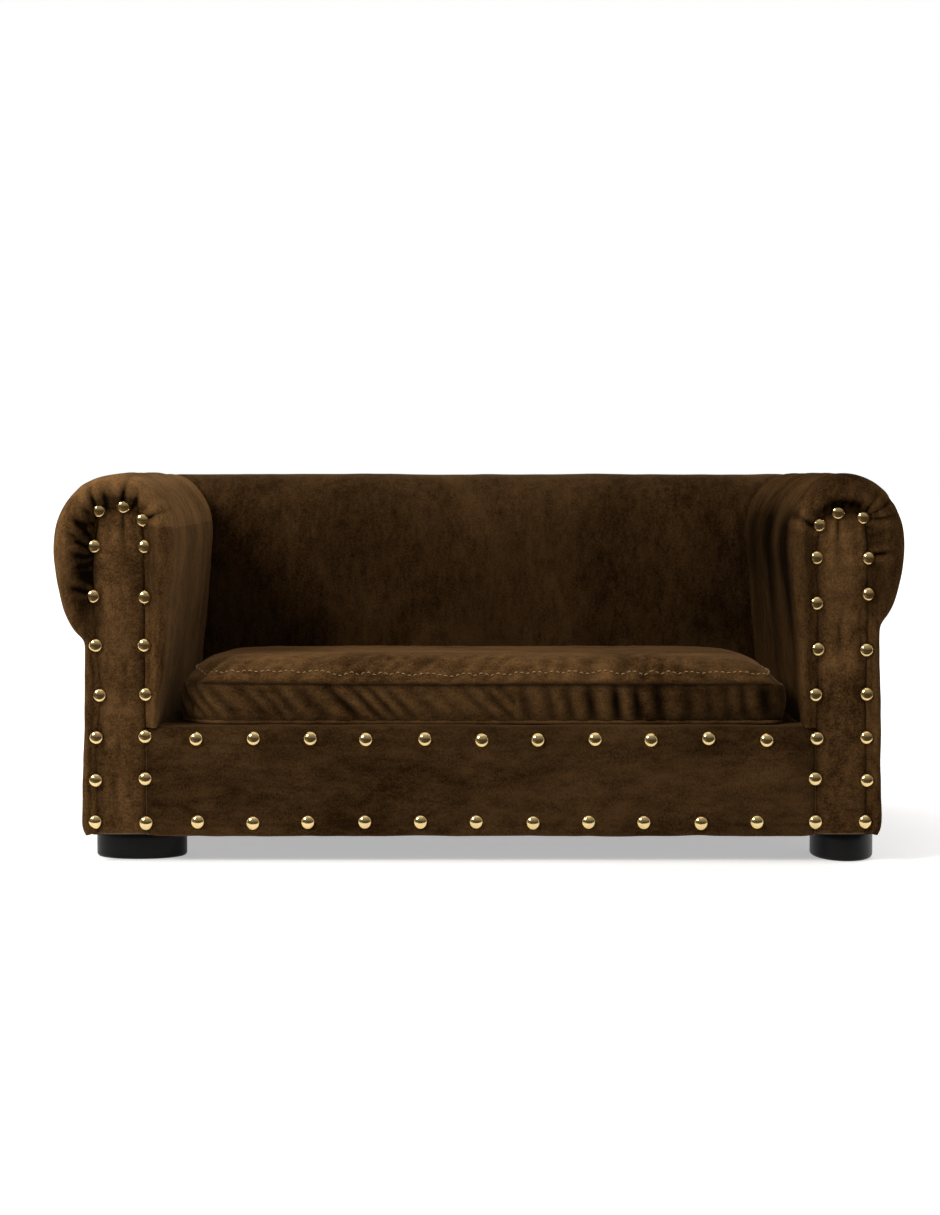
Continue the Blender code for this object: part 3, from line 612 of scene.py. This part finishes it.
def build_rail():
    """The fabric over the front rail, from its hem to where it turns in under the cushion."""
    profile = [(FRONT_Y + 0.004, BASE_Z), (FRONT_Y + 0.0012, BASE_Z + 0.0002)]
    profile += [(FRONT_Y, z) for z in np.linspace(BASE_Z + 0.002, DECK_Z - CORNER_R, 44)]
    for a in np.radians(np.linspace(180, 90, 9)[1:]):
        y = FRONT_Y + CORNER_R + CORNER_R * math.cos(a)
        profile.append((y, DECK_Z - CORNER_R + CORNER_R * math.sin(a)))
    corner_end = len(profile)
    profile += [(y, DECK_Z) for y in np.linspace(FRONT_Y + CORNER_R, RAIL_HIGH.y, 12)[1:]]
    half, narrow = SEAT_X + NAIL_IN - SEAM, SEAT_X - 0.0008
    across = crowded(RAIL_COLUMNS, 1.15)
    points = np.zeros((len(profile), RAIL_COLUMNS, 3))
    for i, (y, z) in enumerate(profile):
        points[i, :, 0] = across * (half if i < corner_end else narrow)
        points[i, :, 1], points[i, :, 2] = y, z
    x, z = points[..., 0], points[..., 2]
    relief = SKIN + 0.0008 * soft_noise(points, 0.060, 21) + 0.0003 * soft_noise(points, 0.018, 22)
    on_front = points[..., 1] < FRONT_Y + 0.003
    edge = half - np.abs(x)
    relief -= 0.0020 * np.exp(-np.clip(edge, 0, None) / 0.0012) * on_front
    relief += 0.0008 * np.clip(edge / 0.010, 0, 1) * on_front
    nap_and_painted_light = 0.5 + 0.13 * soft_noise(points, 0.045, 24) + 0.06 * soft_noise(points, 0.018, 25)
    # Painted light towards the left end, and painted shade where the front is pulled in at its ends
    nap_and_painted_light += 0.10 * np.clip(-x / half - 0.45, 0, 1) - 0.30 * np.exp(-np.clip(edge, 0, None) / 0.003) * on_front
    wander = 0.0012 * soft_noise(points, 0.045, 23)
    for row in ("top", "bottom"):
        spots = NAIL_SPOTS[f"rail_nails_{row}"]
        relief += dimples(x, z, spots, 0.0010, 0.0085)
        off_line = z - (spots[5][1] - 0.0022 + wander)  # from the faint crease just under the nails
        relief -= 0.0005 * gauss(off_line, 0.0016) * on_front
        # Painted shade along that crease
        nap_and_painted_light -= 0.10 * gauss(off_line, 0.0013) * on_front
    for name, side in SIDES.items():
        spots = [(side * (SEAT_X + u), height) for u, height in NAIL_SPOTS[f"arm_nails_{name}"]]
        relief += dimples(x, z, spots, 0.0006, 0.008) * on_front
    centre = np.array((0.0, -0.12, 0.06))
    points = stand_out(points, centre, relief)
    made = cloth_sheet("front_rail_velvet", points, centre, nap_and_painted_light, VELVET_FRONT)
    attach(made, "sofa")
    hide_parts("front_rail_cover")


# ---------------------------------------------------------------- back
BACK_COLUMNS = 190


def back_grid(rows, seed):
    """A grid over part of the section, run from mitre to mitre across the back."""
    points = np.zeros((len(rows), BACK_COLUMNS, 3))
    reach = SEAT_X + rows[:, 0] - MITRE
    points[..., 0] = reach[:, None] * crowded(BACK_COLUMNS, 1.2)[None, :]
    points[..., 1] = (BACK_Y + rows[:, 0])[:, None]
    points[..., 2] = rows[:, 1][:, None]
    relief = SKIN + 0.0010 * soft_noise(points, 0.070, seed) + 0.0004 * soft_noise(points, 0.022, seed + 1)
    to_mitre = (reach[:, None] - np.abs(points[..., 0])) / math.sqrt(2)
    relief -= MITRE_DEEP * gauss(to_mitre, MITRE_WIDE)
    return points, relief


def finish_back(name, points, relief, nodes, centre):
    nap_and_painted_light = 0.5 + 0.13 * soft_noise(points * np.array((1, 1, 0.4)), 0.040, 35)
    points = stand_out(points, centre, relief)
    made = cloth_sheet(name, points, centre, nap_and_painted_light, VELVET_BACK)
    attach(made, "sofa")
    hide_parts(*nodes)
    return made


def build_back():
    """The back's rolled cover, and the flat panel below it that closes the rear."""
    count = 240
    rows = section("right", count)
    neck = int(np.argmin(np.abs(rows[: count // 2, 1] - NECK_Z)))
    centre = np.array((0.0, BACK_Y + 0.03, 0.22))
    points, relief = back_grid(rows[neck:], 31)
    relief[:3] -= 0.0010
    finish_back("back_velvet", points, relief, ("back_cover", "back_foam"), centre)
    points, relief = back_grid(rows[: neck + 1], 33)
    height = NECK_Z - OUTER_LOW.z
    relief += 0.0012 * np.sin(np.pi * ramp(points[..., 2], OUTER_LOW.z, height))
    relief[-3:] -= 0.0010
    made = finish_back("outer_back_velvet", points, relief, ("outer_back_panel",), centre - np.array((0, 0, 0.1)))


def build_deck():
    low, high = DECK_LOW, DECK_HIGH
    xs, ys = np.linspace(low.x, high.x, 120), np.linspace(low.y, high.y, 70)
    points = np.stack([*np.meshgrid(xs, ys), np.full((len(ys), len(xs)), high.z)], axis=2)
    points[..., 2] += 0.0002 + 0.00025 * soft_noise(points, 0.05, 41)
    nap_and_painted_light = 0.5 + 0.10 * soft_noise(points, 0.05, 42)
    made = cloth_sheet("deck_velvet", points, np.array((0, 0, 0.0)), nap_and_painted_light, VELVET_DECK)
    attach(made, "sofa")
    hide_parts("deck_cover")


def build_dust_cover():
    """The felt under the frame, held flat round its edge and sagging a little between."""
    low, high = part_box("dust_cover")
    middle, half = (low + high) / 2, (high - low) / 2
    a, b = np.meshgrid(np.linspace(-1, 1, 90), np.linspace(-1, 1, 60))
    points = np.stack([middle.x + half.x * a, middle.y + half.y * b, low.z + 0 * a], axis=2)
    sag = np.cos(a * math.pi / 2) * np.cos(b * math.pi / 2)
    points[..., 2] -= sag * (0.0028 + 0.0010 * soft_noise(points, 0.060, 71))
    centre = np.array((middle.x, middle.y, 0.15))
    made = cloth_sheet("dust_felt_sheet", points, centre, np.full(a.shape, 0.5), FELT)
    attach(made, "sofa")
    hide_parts("dust_cover")


# ---------------------------------------------------------------- nail heads and feet
def dome(centre_x, centre_z, rings=9, sides=28):
    """Points and faces of one nail head, standing on the fabric and facing forward."""
    seat = FRONT_Y - 0.0002
    angles = [math.pi / 2 * (1 - i / rings) for i in range(1, rings + 1)]
    levels = [(HEAD_R * math.cos(angle), seat - HEAD_RISE * math.sin(angle)) for angle in angles]
    levels.append((HEAD_R * 0.8, seat + 0.0014))  # tucked into the fabric
    points = [(centre_x, seat - HEAD_RISE, centre_z)]
    for radius, y in levels:
        for j in range(sides):
            turn = 2 * math.pi * j / sides
            points.append((centre_x + radius * math.cos(turn), y, centre_z + radius * math.sin(turn)))
    faces = [(0, 1 + j, 1 + (j + 1) % sides) for j in range(sides)]
    faces += [tuple(1 + k for k in (a, d, c, b)) for a, b, c, d in grid_faces(rings + 1, sides, closed=True)]
    faces.append(tuple(range((rings + 1) * sides, rings * sides, -1)))
    return points, faces


def build_nails():
    for node, spots in NAIL_SPOTS.items():
        side = SIDES.get(node.rsplit("_", 1)[1]) if node.startswith("arm") else None
        points, faces = [], []
        for a, z in spots:
            more_points, more_faces = dome(side * (SEAT_X + a) if side else a, z)
            faces += [tuple(k + len(points) for k in face) for face in more_faces]
            points += more_points
        made = mesh_object(node + "_heads", points, faces, BRASS)
        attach(made, "sofa")
        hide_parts(node)


def build_feet():
    """Oval feet with an eased bottom edge."""
    sides, ease = 112, 0.0028
    for end in ("front", "rear"):
        for name in SIDES:
            low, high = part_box(f"foot_{end}_{name}")
            centre, half = (low + high) / 2, (high - low) / 2
            turns = np.linspace(0, math.pi / 2, 7)
            levels = [(ease * (1 - math.sin(a)), ease * (1 - math.cos(a))) for a in turns]
            levels += [(0.0, z) for z in (0.010, 0.017, high.z - 0.0008)] + [(0.0006, high.z)]
            rings = []
            for inset, z in levels:
                for j in range(sides):
                    turn = 2 * math.pi * j / sides
                    x = centre.x + (half.x - inset) * math.cos(turn)
                    rings.append((x, centre.y + (half.y - inset) * math.sin(turn), z))
            faces = grid_faces(len(levels), sides, closed=True)
            faces.append(tuple(range(sides - 1, -1, -1)))
            faces.append(tuple(range((len(levels) - 1) * sides, len(levels) * sides)))
            made = mesh_object(f"oval_foot_{end}_{name}", rings, faces, BLACK)
            made.data.set_sharp_from_angle(angle=math.radians(50))
            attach(made, "sofa")
            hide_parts(f"foot_{end}_{name}")


# ---------------------------------------------------------------- seat cushion
CELL = 0.0056  # grid spacing before it is halved
CORNERS = {(-1, -1): 0.046, (1, -1): 0.014, (-1, 1): 0.022, (1, 1): 0.022}  # radii by (x, y) side
BOX_ROWS = 8
SIM_FRAMES = 20
PRESSURE = 4.0  # of the filling, in the cloth simulation
MOST_MOVE = 0.007  # a simulated point moves no further than this
LEAN_X = 0.03  # the folds lean on the left of this and stand upright on its right
ZIP_BAND = 0.004  # points this close to the rear face lie beside the zip
FOLD_PITCH = 0.0190
BELLY = 0.0026  # how far the boxing swells beyond its seams
STITCH_IN = 2  # the topstitch runs this many fine cells inside the seam
REAR_SAG = 0.34  # how much of the crown is lost between the middle and the rear


def cushion_plan(a, b):
    """Where the grid place (a, b), each from -1 to 1, lies in the cushion's rounded outline."""
    low, high = CUSHION_LOW, CUSHION_HIGH
    centre = ((low.x + high.x) / 2, (low.y + high.y) / 2)
    half = ((high.x - low.x) / 2, (high.y - low.y) / 2)
    x, y = half[0] * a, half[1] * b
    radius = CORNERS[(1 if a > 0 else -1, 1 if b > 0 else -1)]
    qx, qy = (abs(x) - half[0] + radius) / radius, (abs(y) - half[1] + radius) / radius
    if qx > 0 and qy > 0:
        pull = max(qx, qy) / math.hypot(qx, qy)
        x = math.copysign(half[0] - radius + qx * pull * radius, x)
        y = math.copysign(half[1] - radius + qy * pull * radius, y)
    return centre[0] + x, centre[1] + y


def rim(grid):
    """A grid's border as one loop, from its first corner along its first row."""
    return np.concatenate([grid[0, :-1], grid[:-1, -1], grid[-1, :0:-1], grid[:0:-1, 0]])


def cushion_blocks():
    """The cushion's top and bottom grids and the rows of its boxing."""
    nx = round((CUSHION_HIGH.x - CUSHION_LOW.x) / CELL)
    ny = round((CUSHION_HIGH.y - CUSHION_LOW.y) / CELL)
    top, bottom = np.zeros((ny + 1, nx + 1, 3)), np.zeros((ny + 1, nx + 1, 3))
    for j in range(ny + 1):
        for i in range(nx + 1):
            a, b = 2 * i / nx - 1, 2 * j / ny - 1
            x, y = cushion_plan(a, b)
            crown = ((1 - abs(a) ** 16) * (1 - abs(b) ** 8)) ** 0.75 * (1 - REAR_SAG * (b + 1))
            top[j, i] = (x, y, BOXING_TOP + (CROWN_Z - BOXING_TOP - 0.002) * crown)
            bottom[j, i] = (x, y, CUSHION_LOW.z + 0.0008)
    upper, lower = rim(top), rim(bottom)
    share = np.linspace(0, 1, BOX_ROWS + 1)[:, None, None]
    return top, bottom, upper + (lower - upper) * share


def outward_of(side):
    """The level direction out of the boxing at each of its points."""
    ahead = np.roll(side, -1, axis=1) - np.roll(side, 1, axis=1)
    outward = np.stack([ahead[..., 1], -ahead[..., 0], 0 * ahead[..., 0]], axis=2)
    return outward / np.linalg.norm(outward, axis=2, keepdims=True)


def finer(block, closed=False):
    """The block with a point added between each pair, both ways."""
    def double(values, wrap):
        after = np.roll(values, -1, axis=0) if wrap else values[1:]
        here = values if wrap else values[:-1]
        out = np.stack([here, (here + after) / 2], axis=1).reshape(-1, *values.shape[1:])
        return out if wrap else np.concatenate([out, values[-1:]])

    return double(double(block, False).swapaxes(0, 1), closed).swapaxes(0, 1)


def assemble(top, bottom, side):
    """Points, faces and boxing rows of the closed cushion made of the three blocks."""
    rows, columns = top.shape[:2]
    numbers = np.arange(rows * columns).reshape(rows, columns)
    under = numbers + rows * columns
    inner = side[1:-1]
    between = np.arange(inner.shape[0] * inner.shape[1]).reshape(inner.shape[:2]) + 2 * rows * columns
    loops = np.concatenate([rim(numbers)[None], between, rim(under)[None]])
    points = np.concatenate([top.reshape(-1, 3), bottom.reshape(-1, 3), inner.reshape(-1, 3)])
    up = np.stack([numbers[:-1, :-1], numbers[:-1, 1:], numbers[1:, 1:], numbers[1:, :-1]], axis=2)
    down = np.stack([under[:-1, :-1], under[1:, :-1], under[1:, 1:], under[:-1, 1:]], axis=2)
    after = np.roll(loops, -1, axis=1)
    around = np.stack([loops[:-1], loops[1:], after[1:], after[:-1]], axis=2)
    faces = np.concatenate([up.reshape(-1, 4), down.reshape(-1, 4), around.reshape(-1, 4)])
    return points, faces.tolist(), loops


def simulate(points, faces, free):
    """Swells the cushion as cloth under pressure, then keeps each point within its own limit."""
    made = mesh_object("cushion_trial", points, faces, VELVET_CUSHION)
    cloth = made.modifiers.new("cloth", "CLOTH")
    settings = cloth.settings
    settings.quality, settings.mass, settings.air_damping = 5, 0.3, 2.0
    settings.use_pressure, settings.uniform_pressure_force = True, PRESSURE
    settings.effector_weights.gravity = 0.0
    settings.tension_stiffness = settings.compression_stiffness = 15.0
    settings.shear_stiffness, settings.bending_stiffness = 5.0, 0.5
    cloth.collision_settings.use_collision = False
    for step in range(1, SIM_FRAMES + 1):
        bpy.context.scene.frame_set(step)
    evaluated = made.evaluated_get(bpy.context.evaluated_depsgraph_get())
    moved = np.array([v.co for v in evaluated.data.vertices])
    bpy.context.scene.frame_set(1)
    bpy.data.objects.remove(made)
    shift = moved - points
    length = np.linalg.norm(shift, axis=1, keepdims=True)
    return points + shift * np.minimum(1.0, MOST_MOVE * free[:, None] / np.maximum(length, 1e-9))


def swell(top, bottom, side):
    """The blocks after the cloth simulation, with a boxing that never sinks in."""
    points, faces, loops = assemble(top, bottom, side)
    free = np.ones(len(points))
    free[points[:, 2] < CUSHION_LOW.z + 0.002] = 0.05
    free[loops[0]] = 0.25
    points = simulate(points, faces, free)
    count = top.shape[0] * top.shape[1]
    new_top, new_bottom = points[:count].reshape(top.shape), points[count : 2 * count].reshape(top.shape)
    new_side = points[loops]
    share = np.linspace(0, 1, len(side))[:, None]
    outward = outward_of(side)
    sunk = np.minimum(((new_side - side) * outward).sum(axis=2), 0)
    zip_side = (side[..., 1] > CUSHION_HIGH.y - ZIP_BAND) * 0.8
    new_side = new_side + outward * (BELLY * np.sin(np.pi * share) * (1 - zip_side) - sunk)[..., None]
    return new_top, new_bottom, new_side


def gathers(run, depth, slant, seed):
    """Soft folds that cross a seam: run goes along it and depth away from it."""
    along = run + slant * depth
    flat = np.stack([along, 0 * along, 0.15 * depth], axis=-1).reshape(-1, 3)

    def varied(size, shift):
        return np.array([noise.noise(Vector(p / size) + Vector(shift)) for p in flat]).reshape(run.shape)

    wander, strength = varied(0.05, (seed, 0, 0)), varied(0.08, (0, seed, 0))
    wave = np.sin(2 * np.pi * along / FOLD_PITCH + 6 * wander)
    return (0.65 + 0.9 * strength) * (wave - 0.35 * np.abs(wave))


def pucker(top, side):
    """Adds the gathers of the top panel and the boxing, and the line pulled down by the topstitch, with painted
    light and shade in the stored values.
    """
    low, high = CUSHION_LOW, CUSHION_HIGH
    x, y = top[..., 0], top[..., 1]
    slant = np.where(x < LEAN_X, -0.9, -0.25)
    relief, folds = np.zeros(x.shape), np.zeros(x.shape)
    edges = (  # along the edge, away from it, lean, seed, strength
        (x, y - low.y, slant, 2.0, 1.25),
        (y, high.x - x, 0.0, 5.0, 0.6),
        (x, high.y - y, 0.2, 8.0, 0.6),
        (y, x - low.x, 0.0, 11.0, 0.6),
    )
    for run, depth, lean, seed, amount in edges:
        fade = np.exp(-depth / 0.026) * np.clip(depth / 0.004, 0, 1)
        folds += amount * fade * gathers(run, depth, lean, seed)
        relief -= 0.0007 * gauss(depth - STITCH_IN * CELL / 2, 0.0022)
    relief += 0.0021 * folds + 0.0016 * soft_noise(top, 0.09, 61) + 0.0006 * soft_noise(top, 0.03, 62)
    # Painted light: the top lighter than the boxing and lighter towards the left; painted light and shade along the
    # gathers; random tone
    top_painted_light = 0.70 - 0.10 * x / high.x + 0.30 * folds + 0.12 * soft_noise(top, 0.05, 63)
    edge = np.minimum(np.minimum(x - low.x, high.x - x), np.minimum(y - low.y, high.y - y))
    relief *= np.clip(edge / 0.003, 0, 1)
    top = top + np.array((0, 0, 1.0)) * relief[..., None]
    share = np.linspace(0, 1, len(side))[:, None] * np.ones(side.shape[1])
    steps = np.linalg.norm(np.roll(side[0], -1, axis=0) - side[0], axis=1)
    run = np.cumsum(steps)[None, :] * np.ones((len(side), 1))
    slant = np.where(side[..., 0] < LEAN_X, -0.95, -0.15)
    quiet = 1 - 0.8 * (side[..., 1] > high.y - ZIP_BAND)
    hold = np.clip(np.sin(np.pi * share), 0, 1) ** 0.5
    folds = hold * quiet * gathers(run, share * 0.033, slant, 2.0)
    # Painted light and shade along the boxing's gathers, and painted shade towards the right end
    side_painted_light = 0.39 + 0.26 * folds - 0.20 * np.clip(side[..., 0] / high.x, 0, 1)
    # Painted shade: a dark line all round the top's seam
    for seam_painted_shade in (top_painted_light[0], top_painted_light[-1], top_painted_light[:, 0], top_painted_light[:, -1]):
        seam_painted_shade[:] = 0.04
    # Painted shade along the boxing's seams, except beside the zip
    at_seam = gauss(share, 0.05) + 0.6 * gauss(share - 1, 0.05)
    side_painted_light = np.where(quiet > 0.5, side_painted_light - 0.45 * at_seam, 0.5)
    side = side + outward_of(side) * (0.0024 * folds - 0.0014 * gauss(share, 0.05))[..., None]
    top[0], top[-1], top[:, 0], top[:, -1] = rim_parts(side[0], top.shape)
    return top, side, top_painted_light, side_painted_light


def rim_parts(loop, shape):
    """A loop split back into a grid's first row, last row, first column and last column."""
    ny, nx = shape[0] - 1, shape[1] - 1
    first, right = loop[: nx + 1], loop[nx : nx + ny + 1]
    last = loop[nx + ny : 2 * nx + ny + 1][::-1]
    left = np.concatenate([loop[2 * nx + ny :], loop[:1]])[::-1]
    return first, last, left, right


def relax_loop(path, passes):
    for _ in range(passes):
        path = 0.25 * np.roll(path, 1, axis=0) + 0.5 * path + 0.25 * np.roll(path, -1, axis=0)
    return path


def loop_tube(name, path, radius, finish, sides=10):
    """A closed cord along a closed path."""
    path = np.asarray(path)
    ahead = np.roll(path, -1, axis=0) - np.roll(path, 1, axis=0)
    ahead /= np.linalg.norm(ahead, axis=1, keepdims=True)
    outward = np.cross(ahead, (0, 0, 1.0))
    outward /= np.linalg.norm(outward, axis=1, keepdims=True)
    upward = np.cross(outward, ahead)
    turns = np.linspace(0, 2 * math.pi, sides, endpoint=False)
    points = np.stack([path + radius * (math.cos(t) * outward + math.sin(t) * upward) for t in turns], axis=1)
    numbers = np.arange(len(path) * sides).reshape(len(path), sides)
    after = np.roll(numbers, -1, axis=0)
    faces = np.stack([numbers, np.roll(numbers, -1, axis=1), np.roll(after, -1, axis=1), after], axis=2)
    made = mesh_object(name, points.reshape(-1, 3), faces.reshape(-1, 4).tolist(), finish)
    mesh = bmesh.new()
    mesh.from_mesh(made.data)
    bmesh.ops.recalc_face_normals(mesh, faces=mesh.faces)
    mesh.to_mesh(made.data)
    mesh.free()
    return made


def stitches(name, path, length, gap, radius, finish):
    """Short threads laid end to end along a closed path on top of the fabric, each dipping at its ends."""
    path = np.vstack([path, path[:1]])
    steps = np.concatenate([[0.0], np.cumsum(np.linalg.norm(np.diff(path, axis=0), axis=1))])
    count = int(steps[-1] / (length + gap))
    pitch = steps[-1] / count

    def at(distance):
        return np.array([np.interp(distance % steps[-1], steps, column) for column in path.T])

    points, faces = [], []
    sides, parts = 6, 5
    for k in range(count):
        base = len(points)
        for i in range(parts):
            share = i / (parts - 1)
            spot = at(k * pitch + length * share)
            ahead = at(k * pitch + length * share + 0.0005) - spot
            ahead /= np.linalg.norm(ahead)
            across = np.cross((0, 0, 1.0), ahead)
            across /= np.linalg.norm(across)
            up = np.cross(ahead, across)
            thick = radius * (0.35 + 0.65 * math.sqrt(max(math.sin(math.pi * share), 0)))
            lift = radius * 1.3 * math.sin(math.pi * share)
            for j in range(sides):
                turn = 2 * math.pi * j / sides
                points.append(spot + up * lift + thick * (math.cos(turn) * across + math.sin(turn) * up))
        for i in range(parts - 1):
            for j in range(sides):
                a, b = base + i * sides + j, base + i * sides + (j + 1) % sides
                faces.append((a, b, b + sides, a + sides))
        faces.append(tuple(base + j for j in range(sides - 1, -1, -1)))
        faces.append(tuple(base + (parts - 1) * sides + j for j in range(sides)))
    return mesh_object(name, points, faces, finish)


def build_cushion():
    """The stuffed cushion, with its lower seam and its golden topstitch."""
    blocks = cushion_blocks()
    blocks = swell(*blocks)
    top, bottom, side = finer(blocks[0]), finer(blocks[1]), finer(blocks[2], closed=True)
    top, side, top_painted_light, side_painted_light = pucker(top, side)
    points, faces, loops = assemble(top, bottom, side)
    made = mesh_object("seat_cushion", points, faces, VELVET_CUSHION)
    under_nap = np.full(bottom.shape[:2], 0.45)
    set_nap_and_painted_light(made, np.concatenate([top_painted_light.ravel(), under_nap.ravel(), side_painted_light[1:-1].ravel()]))
    crease = made.data.attributes.new("crease_edge", "FLOAT", "EDGE")
    seams = set(loops[0].tolist()) | set(loops[-1].tolist())
    crease.data.foreach_set("value", [0.55 if seams.issuperset(e.vertices) else 0.0 for e in made.data.edges])
    smooth = made.modifiers.new("smooth", "SUBSURF")
    smooth.levels = smooth.render_levels = 1
    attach(made, "cushion")
    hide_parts("cushion_top_panel", "cushion_boxing", "cushion_bottom_panel", "cushion_core")
    path = relax_loop(points[loops[-1]], 3) + np.array((0, 0, 0.0016))
    welt = loop_tube("cushion_lower_seam", path, 0.0018, VELVET_CUSHION)
    set_nap_and_painted_light(welt, np.full(len(welt.data.vertices), 0.62))
    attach(welt, "cushion")
    path = rim(top[STITCH_IN:-STITCH_IN, STITCH_IN:-STITCH_IN]) + np.array((0, 0, 0.0004))
    thread = stitches("cushion_topstitch", path, 0.0034, 0.0017, 0.00048, THREAD)
    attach(thread, "cushion")


# ---------------------------------------------------------------- zip
def build_zip():
    """Woven tape with two rows of teeth that interlock along its middle."""
    low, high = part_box("cushion_zip_strip")
    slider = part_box("zip_slider")
    middle = (slider[0].z + slider[1].z) / 2
    face_y = high.y - 0.0004
    mesh = bmesh.new()
    length = high.x - low.x
    for vert in bmesh.ops.create_cube(mesh, size=1.0)["verts"]:
        vert.co = Vector((vert.co.x * length, face_y + vert.co.y * 0.0007, middle + vert.co.z * 0.022))
    pitch, end = 0.0024, 0.003  # of the teeth, and the bare tape at each end
    for k in range(int((length - 2 * end) / pitch)):
        tooth = bmesh.ops.create_cube(mesh, size=1.0)["verts"]
        up = 1 if k % 2 else -1
        centre = Vector((low.x + end + k * pitch, face_y + 0.0006, middle + up * 0.0004))
        for vert in tooth:
            taper = 0.75 if vert.co.z * up < 0 else 1.0
            vert.co = centre + Vector((vert.co.x * 0.0019 * taper, vert.co.y * 0.0012, vert.co.z * 0.0022))
    data = bpy.data.meshes.new("cushion_zip")
    mesh.to_mesh(data)
    mesh.free()
    data.materials.append(ZIP_TAPE)
    made = bpy.data.objects.new("cushion_zip", data)
    bpy.context.scene.collection.objects.link(made)
    edge = made.modifiers.new("edge", "BEVEL")
    edge.width, edge.segments = 0.0002, 2
    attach(made, "cushion")
    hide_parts("cushion_zip_strip")


# ---------------------------------------------------------------- pieces that keep their CAD shape
def dress_frame():
    """Gives the nodes that keep their CAD shape the finish of their slot."""
    finishes = {
        "frame_wood": PLYWOOD,
        "padding": FOAM,
        "cushion_foam": FOAM,
        "bolt_steel": STEEL,
        "dust_cloth": FELT,
        "zip_metal": ZIP_BRASS,
    }
    for entry in frame["record"]["subparts"]:
        finish = finishes.get(entry["material_slot"])
        if finish is not None:
            for place in frame["nodes"][entry["node"]].material_slots:
                place.material = finish


# ---------------------------------------------------------------- studio
def area_light(name, place, target, size, power, colour):
    data = bpy.data.lights.new(name, "AREA")
    data.size, data.energy, data.color = size, power, colour
    made = bpy.data.objects.new(name, data)
    made.location = place
    made.rotation_euler = (Vector(target) - Vector(place)).to_track_quat("-Z", "Y").to_euler()
    bpy.context.scene.collection.objects.link(made)


def build_dark_room():
    """The dim end of the studio, in front: it shades the front and shows only in reflections."""
    dim, nodes, links, shader, coords = shader_material(
        "dim_wall", Emission_Color=(1.0, 0.95, 0.88, 1), Base_Color=(0.02, 0.015, 0.01, 1), Roughness=1.0
    )
    height = nodes.new("ShaderNodeSeparateXYZ")
    links.new(coords, height.inputs["Vector"])
    glow = nodes.new("ShaderNodeMapRange")
    radius, wide, high = 4.5, math.radians(80), math.radians(58)
    glow.inputs["From Max"].default_value = radius * math.sin(high)
    glow.inputs["To Min"].default_value, glow.inputs["To Max"].default_value = 0.015, 0.45
    links.new(height.outputs["Z"], glow.inputs["Value"])
    links.new(glow.outputs["Result"], shader.inputs["Emission Strength"])
    turns, lifts = np.linspace(-wide, wide, 25), np.linspace(0.0, high, 13)
    points = [
        (radius * math.sin(t) * math.cos(e), -radius * math.cos(t) * math.cos(e), radius * math.sin(e))
        for e in lifts
        for t in turns
    ]
    wall = mesh_object("dim_wall", points, grid_faces(len(lifts), len(turns)), dim)
    near, far, wide, lift = 0.30, 4.4, 3.5, 0.003
    corners = [(-wide, -near, lift), (wide, -near, lift), (wide, -far, lift), (-wide, -far, lift)]
    dark = shader_material("dark_ground", Base_Color=(0.05, 0.03, 0.015, 1))[0]
    ground = mesh_object("dark_ground", corners, [(0, 1, 2, 3)], dark)
    for made in (wall, ground):
        made.visible_camera = False
        made.visible_shadow = False
    ground.visible_diffuse = False


def build_studio():
    pale, nodes, links, shader, coords = shader_material(
        "pale_floor", Roughness=0.8, Emission_Color=(1, 1, 1, 1), Emission_Strength=0.42
    )
    tone = noise_node(nodes, links, coords, 3.0, 2.0)
    links.new(blend_colours(nodes, links, tone, (0.90, 0.90, 0.90), (0.93, 0.93, 0.93)), shader.inputs["Base Color"])
    far = 30.0
    corners = [(-far, -far, 0), (far, -far, 0), (far, far, 0), (-far, far, 0)]
    floor = mesh_object("floor", corners, [(0, 1, 2, 3)], pale)
    build_dark_room()
    world = bpy.data.worlds.new("studio")
    world.use_nodes = True
    sky = world.node_tree.nodes["Background"].inputs
    sky["Color"].default_value, sky["Strength"].default_value = (1, 1, 1, 1), 1.0
    bpy.context.scene.world = world
    area_light("key", (-1.7, -1.45, 1.75), (-0.1, -0.1, 0.2), 0.8, 44.0, (1.0, 0.97, 0.92))


def build_camera():
    """At the photograph's viewing angle: a long lens, level with the tops of the arms."""
    data = bpy.data.cameras.new("camera")
    data.lens, data.sensor_width, data.sensor_fit = 72.9, 36.0, "AUTO"
    made = bpy.data.objects.new("camera", data)
    made.location = (-0.009, FRONT_Y - 2.027, 0.3236)
    made.rotation_euler = (math.radians(90 - 3.15), 0, 0)
    bpy.context.scene.collection.objects.link(made)
    bpy.context.scene.camera = made


def main():
    bpy.context.scene.view_settings.view_transform = "Standard"
    build_camera()
    for seed, (name, side) in enumerate(SIDES.items()):
        build_arm(name, side, 10 + 5 * seed)
        build_arm_panel(name, side, 50 + seed)
    build_rail()
    build_back()
    build_deck()
    build_dust_cover()
    build_nails()
    build_feet()
    build_cushion()
    build_zip()
    dress_frame()
    build_studio()


main()
